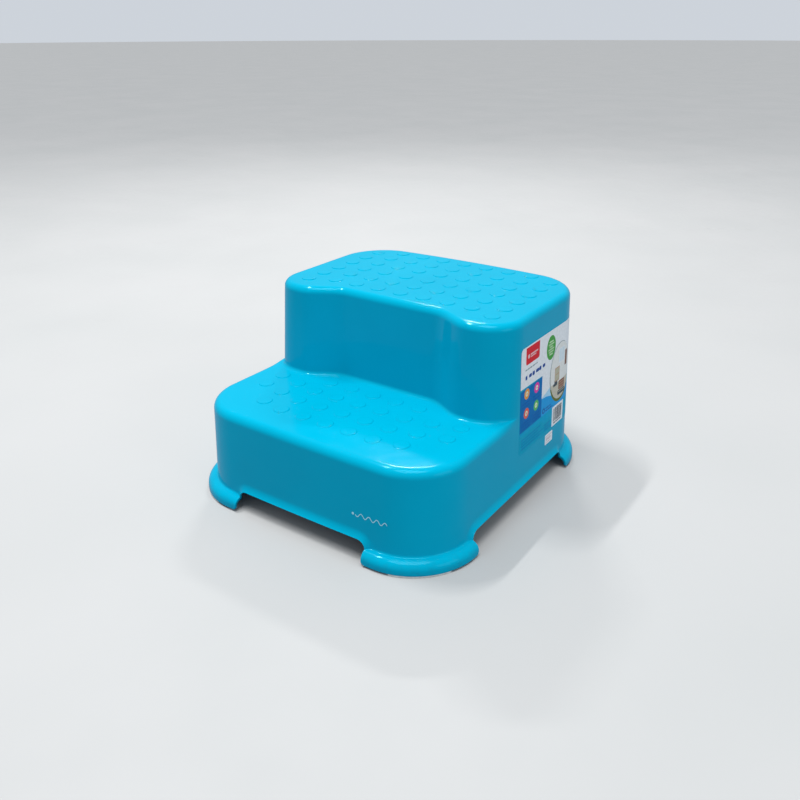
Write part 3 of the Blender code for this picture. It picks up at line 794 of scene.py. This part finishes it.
class Artwork:
    """A film on a wall and thin printed areas on it, in artwork units from its top left corner."""

    def __init__(self, inks, wall, start, high, size, corner):
        self.mesher = Mesher()
        self.wall, self.start, self.high = wall, start, high
        self.size, self.corner = size, corner
        self.inks = inks
        self.used = []
        self.window = None

    def spot(self, u, v, out):
        return self.wall(self.start + u * ART, self.high - v * ART, out)

    def marks(self, left, right, rounding):
        """Places of an area's columns, closer together where its ends are round or the wall bends."""
        ends = [0.0]
        if rounding:
            ends = [rounding * (1 - cos(t)) for t in steps(MARK_STEPS, 0, QUARTER)]
        found = [left + e for e in ends] + [right - e for e in ends]
        first, last = ceil(left / BEND_MARK), floor(right / BEND_MARK)
        inside = [m * BEND_MARK for m in range(first, last + 1)]
        found += [m for m in inside if left + rounding < m < right - rounding and m * ART > BEND_FROM]
        found = sorted(found)
        kept = [found[0]]
        for mark in found[1:]:
            if mark - kept[-1] > MARK_GAP:
                kept.append(mark)
        return kept

    def clipped(self, u, top, bottom):
        """A column cut to the oval window."""
        middle_u, middle_v, reach_u, reach_v = self.window
        reach = reach_v * sqrt(max(1 - ((u - middle_u) / reach_u) ** 2, 0.0))
        low, high = middle_v + reach, middle_v - reach
        return u, min(max(top, high), low), max(min(bottom, low), high)

    def area(self, ink, layer, columns):
        """Thin printed area between the (place, top, bottom) columns."""
        if ink not in self.used:
            self.used.append(ink)
        self.mesher.paint = self.used.index(ink)
        if self.window:
            columns = [self.clipped(*column) for column in columns]
        tallest = max(bottom - top for _, top, bottom in columns)
        rows = max(1, ceil(tallest * ART / ROW_HEIGHT))
        sheets = []
        self.mesher.known = {}
        for out in (FILM_BACK if layer == 0 else FILM_FACE - LAYER, FILM_FACE + layer * LAYER):
            sheets.append([[self.spot(u, top + (bottom - top) * k / rows, out) for k in range(rows + 1)]
                           for u, top, bottom in columns])
        loops = []
        for sheet in sheets:
            for left, right in zip(sheet, sheet[1:]):
                for k in range(rows):
                    self.mesher.face([left[k], left[k + 1], right[k + 1], right[k]])
            loop = [line[0] for line in sheet] + sheet[-1][1:]
            loop += [line[-1] for line in reversed(sheet[:-1])] + sheet[0][-2:0:-1]
            loops.append(loop)
        self.mesher.band(loops[0], loops[1])

    def box(self, ink, layer, left, top, right, bottom, rounding=0.0, square_top=False):
        columns = []
        for u in self.marks(left, right, rounding):
            cut = corner_cut(rounding, min(u - left, right - u))
            columns.append((u, top if square_top else top + cut, bottom - cut))
        self.area(ink, layer, columns)

    def oval(self, ink, layer, u, v, reach_u, reach_v):
        columns = []
        for mark in self.marks(u - reach_u, u + reach_u, reach_u * OVAL_ENDS):
            tall = reach_v * sqrt(max(1 - ((mark - u) / reach_u) ** 2, 0.0))
            columns.append((mark, v - tall, v + tall))
        self.area(ink, layer, columns)

    def sheet(self, ink, layer, left, right, top_line, bottom_line):
        """Area between two bent lines, kept inside the film's rounded corners."""
        columns = []
        bends = [u for u, _ in top_line + bottom_line if left < u < right]
        ends = [c for c in self.marks(0, self.size[0], self.corner) if left < c < right]
        for u in sorted(set(self.marks(left, right, 0.0) + bends + ends)):
            cut = corner_cut(self.corner, min(u, self.size[0] - u))
            top = max(height_on(top_line, u), cut)
            columns.append((u, top, max(min(height_on(bottom_line, u), self.size[1] - cut), top)))
        self.area(ink, layer, columns)

    def wave(self, ink, layer, left, right, middle, swing, period, thick):
        """Wavy line of even thickness."""
        columns = []
        count = int((right - left) / period * WAVE_STEPS)
        for u in steps(count, left, right):
            turn = 2 * pi * (u - left) / period
            slope = swing * 2 * pi / period * cos(turn)
            half = thick / 2 * sqrt(1 + slope ** 2)
            near = min(u - left, right - u, thick / 2) / (thick / 2)
            half *= max(sqrt(max(1 - (1 - near) ** 2, 0.0)), WAVE_TIP)
            v = middle + swing * sin(turn)
            columns.append((u, v - half, v + half))
        self.area(ink, layer, columns)

    def rows(self, ink, layer, left, right, tops, height, seed):
        """Rows of small blocks that stand for lines of print."""
        draw = random.Random(seed)
        for top in tops:
            u = left
            stop = right - draw.uniform(0, RAGGED) * (right - left)
            while u < stop:
                width = min(draw.uniform(*BLOCK_LENGTHS) * height, stop - u)
                if width > height * BLOCK_GAP:
                    self.box(ink, layer, u, top, u + width, top + height, height * BLOCK_ROUND)
                u += width + height * BLOCK_GAP

    def build(self, name, slot, node=None):
        self.mesher.build(name, slot, [self.inks[ink] for ink in self.used], node)


def height_on(line, u):
    """Height of a bent line of (place, height) points at a place."""
    for (u0, v0), (u1, v1) in zip(line, line[1:]):
        if u <= u1:
            return v0 + (v1 - v0) * (u - u0) / (u1 - u0)
    return line[-1][1]


LABEL_SIZE = (1250, 1120)
LABEL_CORNER = 49
PANEL_EDGE = 484
BAND_LOW = 885
TITLE_V = 320
TITLE_BLOCKS = ((44, 40), (36, 62), (44, 50), (36, 74), (44, 46), (36, 60))
SEAL = (668, 184)
DISCS = (("orange", 140, 494), ("magenta", 360, 508), ("coral", 138, 702), ("lime", 356, 698))
BARS = (792.0, 1000)
BAR_WIDTHS = (2.2, 3.3, 5.5, 7.5)
BAR_GAPS = (2.4, 3.4, 5.0)
FRAME_OVAL = (914, 524, 252, 334)
VIEW_OVAL = (919, 514, 240, 314)
SKIRTING_V = 624
STICKER_SIZE = (178.5, 116)
STICKER_CORNER = 10
MARK_PLACE = (68 * MM, 57 * MM)
MARK_SIZE = (400, 120)


def label_ground(art):
    """Ground of the label: white at the top, two blue waves in the middle, teal strips below."""
    width, height = LABEL_SIZE
    art.box("sea", 0, 0, 0, width, height, LABEL_CORNER)
    top = [(0, 0), (width, 0)]
    wave_low = [(PANEL_EDGE, 673), (590, 650), (680, 618), (800, 584), (950, 563), (width, 538)]
    pale_low = [(PANEL_EDGE, 684), (590, 694), (712, 728), (850, 764), (1000, 757), (width, 712)]
    band_low = [(0, BAND_LOW), (width, BAND_LOW)]
    art.sheet("white", 1, 0, PANEL_EDGE, top, [(0, 414), (PANEL_EDGE, 426)])
    art.sheet("white", 1, PANEL_EDGE, width, top, wave_low)
    art.sheet("pale", 1, PANEL_EDGE, width, wave_low, pale_low)
    art.sheet("sky", 1, PANEL_EDGE, width, pale_low, band_low)
    art.sheet("teal", 1, 0, PANEL_EDGE, band_low, [(0, 922), (PANEL_EDGE, 930)])
    art.sheet("teal", 1, PANEL_EDGE, 762, band_low, [(PANEL_EDGE, 930), (560, 985), (762, 960)])


def label_head(art):
    """Red block, title blocks and round green seal."""
    art.box("red", 2, 102, 15, 396, 190, 24, True)
    art.oval("blush", 3, 160, 110, 22, 22)
    art.box("blush", 3, 196, 93, 358, 109, 8)
    art.box("blush", 3, 196, 118, 318, 130, 6)
    art.rows("grey", 2, 92, 380, [230], 15, 3)
    for place, (tall, wide) in enumerate(TITLE_BLOCKS):
        u = 98 + place * 76
        art.box("navy", 2, u, TITLE_V - tall / 2, u + wide, TITLE_V + tall / 2, 14)
    art.oval("green", 2, *SEAL, 105, 130)
    for place, reach in enumerate((48, 66, 40, 70, 58, 40)):
        v = SEAL[1] - 71 + place * 27
        art.box("mint", 3, SEAL[0] - reach, v, SEAL[0] + reach, v + 12, 5)


def label_discs(art):
    """Four coloured discs with lines of print under them."""
    for place, (tint, u, v) in enumerate(DISCS):
        art.oval(tint, 3, u, v, 56, 56)
        art.oval("cream", 4, u, v, 27, 27)
        if place % 2:
            art.box(tint, 5, u - 15, v - 5, u + 15, v + 5, 4)
        else:
            art.oval(tint, 5, u, v, 12, 12)
    columns = ((42, 236), (284, 466))
    for tops, seed in (([578, 612], 11), ([786, 818, 850], 13)):
        for place, (left, right) in enumerate(columns):
            art.rows("deep", 3, left, right, tops, 13, seed + place)


def label_foot(art):
    """Ring and lines of print below the waves."""
    art.oval("navy", 2, 540, 838, 30, 30)
    art.oval("sky", 3, 540, 838, 17, 17)
    art.rows("navy", 2, 586, 760, [822, 850], 12, 15)
    art.rows("row", 2, 42, 540, [965, 998, 1031, 1064], 14, 16)
    art.rows("row", 2, 566, 744, [1010, 1042, 1072], 14, 17)


def bar_block(art):
    """White block of upright bars of random width."""
    art.box("white", 2, 757, 886, 1032, 1112, 5)
    draw = random.Random(5)
    u, stop = BARS
    while u < stop:
        bar = draw.choice(BAR_WIDTHS)
        art.box("black", 3, u, 912, u + bar, 1064)
        u += bar + draw.choice(BAR_GAPS)
    art.rows("black", 3, 800, 1000, [1076], 14, 18)


def room_picture(art):
    """Oval picture of a plain room: wall, floor, window, cabinet, low step and a basket."""
    art.oval("rim", 2, *FRAME_OVAL)
    u, v, reach_u, reach_v = art.window = FRAME_OVAL
    columns = art.marks(u - reach_u, u + reach_u, reach_u - 1)
    art.area("olive", 3, [(m, 664, v + reach_v) for m in columns])
    u, v, reach_u, reach_v = art.window = VIEW_OVAL
    columns = art.marks(u - reach_u, u + reach_u, reach_u - 1)
    art.area("plaster", 4, [(m, v - reach_v, SKIRTING_V) for m in columns])
    art.area("boards", 4, [(m, SKIRTING_V, v + reach_v) for m in columns])
    art.window = (u, v, reach_u - 1, reach_v - 1)
    blocks = (
        ("white", 5, 872, 260, 1008, 424, 3), ("glass", 6, 882, 270, 935, 414),
        ("glass", 6, 944, 270, 998, 414), ("brown", 5, 1028, 324, 1092, 494, 4),
        ("tan", 5, 786, 454, 898, 612, 5),
        ("sand", 6, 796, 466, 888, 526, 3), ("sand", 6, 796, 536, 888, 600, 3),
        ("slate", 5, 756, 624, 854, 656, 6), ("slate", 5, 782, 592, 850, 626, 6),
        ("brown", 5, 888, 628, 1032, 728, 18), ("tan", 6, 900, 646, 1020, 656, 3),
        ("tan", 6, 900, 674, 1020, 684, 3), ("tan", 6, 900, 702, 1020, 712, 3),
        ("slate", 5, 870, 736, 1052, 788, 20), ("sand", 6, 888, 750, 1034, 758, 3),
    )
    for block in blocks:
        art.box(*block)
    art.window = None


def side_label(inks):
    """The large printed label: a film with a generic layout of panels, discs and blocks."""
    art = Artwork(inks, side_surface, label_low.y - PLAN_SHIFT, label_high.z, LABEL_SIZE, LABEL_CORNER)
    label_ground(art)
    art.box("panel", 2, 1, 434, PANEL_EDGE - 1, 882, 6)
    label_head(art)
    label_discs(art)
    label_foot(art)
    room_picture(art)
    bar_block(art)
    art.build("side_label_print", "label_print", "side_label")


def price_sticker(inks):
    """Small white sticker with faded generic print."""
    start = sticker_low.y - PLAN_SHIFT
    art = Artwork(inks, side_surface, start, sticker_high.z, STICKER_SIZE, STICKER_CORNER)
    art.box("tag", 0, 0, 0, *STICKER_SIZE, STICKER_CORNER)
    art.rows("faded", 1, 18, 168, [20], 9, 21)
    for place, tall in enumerate((34, 28, 34, 30)):
        u = 34 + place * 28
        art.box("faded", 1, u, 42, u + 17, 42 + tall, 6)
    art.rows("faded", 1, 26, 160, [88], 9, 22)
    art.build("price_sticker_print", "sticker_white", "price_sticker")


def front_mark(inks):
    """A generic pale wave printed on the front wall."""
    art = Artwork(inks, front_surface, *MARK_PLACE, MARK_SIZE, 0)
    art.wave("mark", 1, 46, 396, 62, 19, 87, 8)
    art.oval("mark", 1, 20, 62, 13, 13)
    art.build("front_mark", "sticker_white")


# ---- materials
def linear(*levels):
    """Linear colour from 0 to 255 screen levels."""
    return tuple((c / 255 / 12.92 if c <= 10 else ((c / 255 + 0.055) / 1.055) ** 2.4) for c in levels)


NOISE_ROUGHNESS = 0.55


class Surface:
    """A node material with helpers that wire procedural variation into it."""

    def __init__(self, name):
        self.data = bpy.data.materials.new(name)
        self.data.use_nodes = True
        self.nodes = self.data.node_tree.nodes
        self.links = self.data.node_tree.links
        self.shader = self.nodes["Principled BSDF"]
        self.place = self.nodes.new("ShaderNodeTexCoord").outputs["Object"]

    def set(self, **values):
        for key, value in values.items():
            self.shader.inputs[key.replace("_", " ")].default_value = value

    def join(self, output, node, entry):
        self.links.new(output, node.inputs[entry])

    def stretched(self, scale):
        node = self.nodes.new("ShaderNodeMapping")
        node.inputs["Scale"].default_value = scale
        self.join(self.place, node, "Vector")
        return node.outputs["Vector"]

    def noise(self, scale, detail, place=None):
        node = self.nodes.new("ShaderNodeTexNoise")
        node.inputs["Scale"].default_value = scale
        node.inputs["Detail"].default_value = detail
        node.inputs["Roughness"].default_value = NOISE_ROUGHNESS
        self.join(place or self.place, node, "Vector")
        return node.outputs["Fac"]

    def spread(self, value, low, high, to_low=0.0, to_high=1.0):
        node = self.nodes.new("ShaderNodeMapRange")
        self.join(value, node, "Value")
        entries = ("From Min", "From Max", "To Min", "To Max")
        for entry, level in zip(entries, (low, high, to_low, to_high)):
            node.inputs[entry].default_value = level
        return node.outputs["Result"]

    def maths(self, operation, first, second):
        node = self.nodes.new("ShaderNodeMath")
        node.operation = operation
        for entry, value in ((0, first), (1, second)):
            if isinstance(value, (int, float)):
                node.inputs[entry].default_value = value
            else:
                self.join(value, node, entry)
        return node.outputs[0]

    def blend(self, share, first, second):
        node = self.nodes.new("ShaderNodeMix")
        node.data_type = "RGBA"
        self.join(share, node, "Factor")
        for entry, colour in ((6, first), (7, second)):
            if isinstance(colour, tuple):
                node.inputs[entry].default_value = (*colour, 1)
            else:
                self.join(colour, node, entry)
        return node.outputs[2]

    def bump(self, height, strength, distance, below=None):
        node = self.nodes.new("ShaderNodeBump")
        node.inputs["Strength"].default_value = strength
        node.inputs["Distance"].default_value = distance
        self.join(height, node, "Height")
        if below:
            self.join(below, node, "Normal")
        return node.outputs["Normal"]

    def upright(self, vector):
        """The vertical part of a vector."""
        split = self.nodes.new("ShaderNodeSeparateXYZ")
        self.join(vector, split, "Vector")
        return split.outputs["Z"]

    def upward(self):
        """How far the surface faces up, 0 to 1."""
        geometry = self.nodes.new("ShaderNodeNewGeometry")
        return self.spread(self.upright(geometry.outputs["Normal"]), 0.6, 0.98)

    def finish(self, colour, roughness, normal=None):
        """Wire the last values into the shader and give the material."""
        for value, entry in ((colour, "Base Color"), (roughness, "Roughness"), (normal, "Normal")):
            if value is not None:
                self.join(value, self.shader, entry)
        return self.data


PLASTIC_DEEP = (0.0, 0.345, 0.52)
PLASTIC_LIGHT = (0.0, 0.37, 0.55)
PLASTIC_TINT = (0.3, 0.9, 1.0, 1.0)
PLASTIC_IOR = 1.24
PLASTIC_ROUGH = (0.06, 0.1)
SCRATCH_ROUGH = 0.09
TREAD_ROUGH = 0.04
SCRATCH_SCALES = ((60, 900, 900), (1100, 70, 1100))
# Darker, greyer blue laid in blotches on the plastic near the floor: its colour, how high it reaches and
# how strong it is
LOW_DARK = (40, 105, 130)
LOW_DARK_TOP = 20 * MM
LOW_DARK_SHARE = 0.35
DUST = (190, 225, 235)
DUST_SHARE = 0.5
PAD_COLOURS = ((214, 214, 208), (232, 232, 228))
PAD_DIRT = (120, 118, 110)
PAD_DIRT_TOP = 0.9 * MM
PAD_DIRT_SHARE = 0.55
PRINT_IOR = 1.17
PRINT_ROUGH = (0.34, 0.46)
PRINT_TINT = 0.2
PRINT_WORN = 0.88
INK_GAIN = 1.2
INK_MOST = 0.84
FLOOR_LIGHT = (0.47, 0.47, 0.465)
FLOOR_DARK = (0.445, 0.45, 0.445)
# Painted shade: the floor's darker blue colour in all light it bounces or mirrors
FLOOR_BOUNCED = (0.19, 0.24, 0.29)
INKS = {
    "sea": (0, 150, 180), "white": (232, 232, 230), "pale": (160, 198, 224), "sky": (35, 146, 204),
    "teal": (0, 152, 188), "panel": (0, 102, 166), "deep": (0, 84, 154), "row": (0, 118, 170),
    "red": (206, 38, 46), "blush": (244, 176, 176), "grey": (136, 150, 150), "navy": (34, 70, 138),
    "green": (74, 150, 66), "mint": (196, 228, 180), "orange": (224, 146, 66),
    "magenta": (216, 62, 150), "coral": (230, 96, 76), "lime": (88, 174, 92), "black": (58, 58, 62),
    "rim": (150, 158, 156), "olive": (98, 106, 40), "plaster": (214, 212, 206),
    "boards": (186, 178, 160), "glass": (200, 212, 216), "tan": (176, 144, 120),
    "sand": (176, 170, 146), "slate": (70, 78, 84), "brown": (128, 88, 70), "tag": (240, 240, 238),
    "faded": (176, 160, 166), "mark": (160, 208, 224), "cream": (236, 214, 186),
}


def stool_plastic():
    """Glossy moulded polypropylene: faint flow marks, fine scratches, a little dust on the treads."""
    surface = Surface("stool_plastic")
    surface.set(IOR=PLASTIC_IOR, Specular_Tint=PLASTIC_TINT)
    flow = surface.spread(surface.noise(9, 2), 0.3, 0.7)
    cloud = surface.spread(surface.noise(70, 4), 0.35, 0.7)
    colour = surface.blend(flow, PLASTIC_DEEP, PLASTIC_LIGHT)
    # Darker, greyer blue in blotches over the lowest 20 mm, fading out upwards
    low = surface.spread(surface.upright(surface.place), 0.0, LOW_DARK_TOP, LOW_DARK_SHARE, 0.0)
    low_dark = surface.maths("MULTIPLY", low, surface.spread(surface.noise(160, 6), 0.45, 0.75))
    colour = surface.blend(low_dark, colour, linear(*LOW_DARK))
    up = surface.upward()
    specks = surface.spread(surface.noise(900, 2), 0.735, 0.76)
    dust = surface.maths("MULTIPLY", surface.maths("MULTIPLY", up, specks), DUST_SHARE)
    colour = surface.blend(dust, colour, linear(*DUST))
    lines, crossed = (surface.noise(1.0, 3, surface.stretched(scale)) for scale in SCRATCH_SCALES)
    lines = surface.spread(lines, 0.66, 0.74)
    scratch = surface.maths("MAXIMUM", lines, surface.spread(crossed, 0.67, 0.75))
    rough = surface.spread(cloud, 0.0, 1.0, *PLASTIC_ROUGH)
    rough = surface.maths("ADD", rough, surface.maths("MULTIPLY", scratch, SCRATCH_ROUGH))
    rough = surface.maths("ADD", rough, surface.maths("MULTIPLY", up, TREAD_ROUGH))
    peel = surface.bump(surface.noise(1100, 2), 0.06, 0.00002)
    ripple = surface.bump(surface.noise(42, 1), 0.5, 0.00022, peel)
    scored = surface.bump(scratch, 0.05, 0.00002, ripple)
    return surface.finish(colour, rough, scored)


def pad_rubber():
    """Pale soft rubber, matt, with dirt where it touches the floor."""
    surface = Surface("pad_rubber")
    surface.set(Specular_IOR_Level=0.3)
    mottle = surface.spread(surface.noise(220, 5), 0.35, 0.7)
    colour = surface.blend(mottle, *(linear(*levels) for levels in PAD_COLOURS))
    low = surface.spread(surface.upright(surface.place), 0.0, PAD_DIRT_TOP, PAD_DIRT_SHARE, 0.0)
    dirt = surface.maths("MULTIPLY", low, surface.spread(surface.noise(400, 5), 0.4, 0.7))
    colour = surface.blend(dirt, colour, linear(*PAD_DIRT))
    rough = surface.spread(surface.noise(500, 3), 0.3, 0.7, 0.6, 0.8)
    return surface.finish(colour, rough, surface.bump(surface.noise(1500, 3), 0.25, 0.00006))


def printed(name, levels):
    """Printed coated paper in one ink."""
    surface = Surface("print_" + name)
    base = tuple(min(c * INK_GAIN, INK_MOST) for c in linear(*levels))
    surface.set(IOR=PRINT_IOR, Specular_Tint=(*(PRINT_TINT + (1 - PRINT_TINT) * c for c in base), 1.0))
    worn = tuple(c * PRINT_WORN for c in base)
    colour = surface.blend(surface.spread(surface.noise(380, 4), 0.35, 0.72), base, worn)
    rough = surface.spread(surface.noise(90, 3), 0.3, 0.7, *PRINT_ROUGH)
    fibre = surface.bump(surface.noise(1600, 3), 0.12, 0.00003)
    cockle = surface.bump(surface.noise(30, 1), 0.35, 0.00025, fibre)
    return surface.finish(colour, rough, cockle)


def floor_paint():
    """Pale matt studio floor, clear from below; a darker blue in every ray but the camera's, painted shade
    on the stool and in its reflections.
    """
    surface = Surface("floor_paint")
    surface.set(Specular_IOR_Level=0.25)
    colour = surface.blend(surface.spread(surface.noise(3, 4), 0.3, 0.7), FLOOR_LIGHT, FLOOR_DARK)
    path = surface.nodes.new("ShaderNodeLightPath")
    # Painted shade: every ray but the camera's sees the floor as a dark blue, so it throws dimmer, bluer
    # light on the stool and shows darker in its reflections
    colour = surface.blend(path.outputs["Is Camera Ray"], FLOOR_BOUNCED, colour)
    surface.finish(colour, surface.spread(surface.noise(12, 4), 0.3, 0.7, 0.5, 0.62))
    clear = surface.nodes.new("ShaderNodeBsdfTransparent")
    geometry = surface.nodes.new("ShaderNodeNewGeometry")
    mix = surface.nodes.new("ShaderNodeMixShader")
    surface.join(geometry.outputs["Backfacing"], mix, "Fac")
    surface.join(surface.shader.outputs[0], mix, 1)
    surface.join(clear.outputs[0], mix, 2)
    surface.join(mix.outputs[0], surface.nodes["Material Output"], "Surface")
    return surface.data


# ---- light and camera
AZIMUTH = radians(34.61)
ELEVATION = radians(25.23)
ROLL = radians(-0.18)
DISTANCE = 955.93 * MM
TARGET = Vector((5.58 * MM, PLAN_SHIFT, 90.07 * MM))
LENS = 35.84
SENSOR = 36.0
FLOOR_REACH = 30.0
FLOOR_SIDES = 96
WORLD_COLOUR = (0.90, 0.96, 1.04, 1)
WORLD_LIGHT = 0.55
WORLD_MIRROR = 0.25
WORLD_SEEN = 0.68
LAMP_AIM = Vector((0, 0, 0.12))
SOFT_ANGLE = radians(34)
# Place and power of each lamp and, of a panel, its size and colour
LAMPS = {
    "soft_ceiling": ((0.1, -0.36, 2.4), 2.2),
    "ceiling_tube": ((-0.95, -0.05, 2.25), 25, (0.6, 0.06)),
    "right_fill": ((2.2, -0.3, 0.9), 9, (1.3, 1.1), (0.88, 0.96, 1.0)),
    "rear_panel": ((-1.1, 1.72, 1.72), 16, (0.4, 0.06)),
}


def add_camera():
    """Camera at the photo's viewing angle."""
    back = Vector((sin(AZIMUTH) * cos(ELEVATION), -cos(AZIMUTH) * cos(ELEVATION), sin(ELEVATION)))
    level_right = Vector((cos(AZIMUTH), sin(AZIMUTH), 0))
    level_up = back.cross(level_right)
    right = level_right * cos(ROLL) + level_up * sin(ROLL)
    up = level_up * cos(ROLL) - level_right * sin(ROLL)
    data = bpy.data.cameras.new("camera")
    data.lens = LENS
    data.sensor_width = SENSOR
    camera = put("camera", data)
    turn = Matrix((right, up, back)).transposed().to_4x4()
    camera.matrix_world = Matrix.Translation(TARGET + back * DISTANCE) @ turn
    bpy.context.scene.camera = camera


def add_lamp(name, place, power, size=None, colour=(1, 1, 1)):
    """Lamp aimed at the stool: a panel of a size or, without a size, the soft far light."""
    data = bpy.data.lights.new(name, "AREA" if size else "SUN")
    data.energy = power
    data.color = colour
    if size:
        data.shape = "RECTANGLE"
        data.size, data.size_y = size
    else:
        data.angle = SOFT_ANGLE
    lamp = put(name, data)
    lamp.location = place
    lamp.rotation_euler = (LAMP_AIM - Vector(place)).to_track_quat("-Z", "Y").to_euler()


def add_stage():
    """Round pale floor, far wider than the view."""
    turns = [2 * pi * i / FLOOR_SIDES for i in range(FLOOR_SIDES)]
    mesh = bpy.data.meshes.new("floor")
    mesh.from_pydata([(FLOOR_REACH * cos(t), FLOOR_REACH * sin(t), 0.0) for t in turns], [],
                     [list(range(FLOOR_SIDES))])
    mesh.materials.append(floor_paint())
    put("floor", mesh)


def add_world():
    """Soft even surroundings, dimmer where the plastic mirrors them than where they light it."""
    world = bpy.data.worlds.new("studio")
    world.use_nodes = True
    nodes, links = world.node_tree.nodes, world.node_tree.links
    background = nodes["Background"]
    background.inputs["Color"].default_value = WORLD_COLOUR
    path = nodes.new("ShaderNodeLightPath")
    strength = None
    for ray, level in (("Is Glossy Ray", WORLD_MIRROR), ("Is Camera Ray", WORLD_SEEN)):
        choice = nodes.new("ShaderNodeMapRange")
        choice.inputs["To Min"].default_value = WORLD_LIGHT
        choice.inputs["To Max"].default_value = level
        links.new(path.outputs[ray], choice.inputs["Value"])
        if strength:
            links.new(strength, choice.inputs["To Min"])
        strength = choice.outputs["Result"]
    links.new(strength, background.inputs["Strength"])
    bpy.context.scene.world = world


plastic = stool_plastic()
ink_surfaces = {name: printed(name, levels) for name, levels in INKS.items()}
step_shell(plastic)
tread_ribs(plastic)
foot_pads(pad_rubber())
side_label(ink_surfaces)
price_sticker(ink_surfaces)
front_mark(ink_surfaces)
add_camera()
add_stage()
add_world()
for lamp_name, settings in LAMPS.items():
    add_lamp(lamp_name, *settings)
bpy.context.scene.view_settings.view_transform = "Standard"
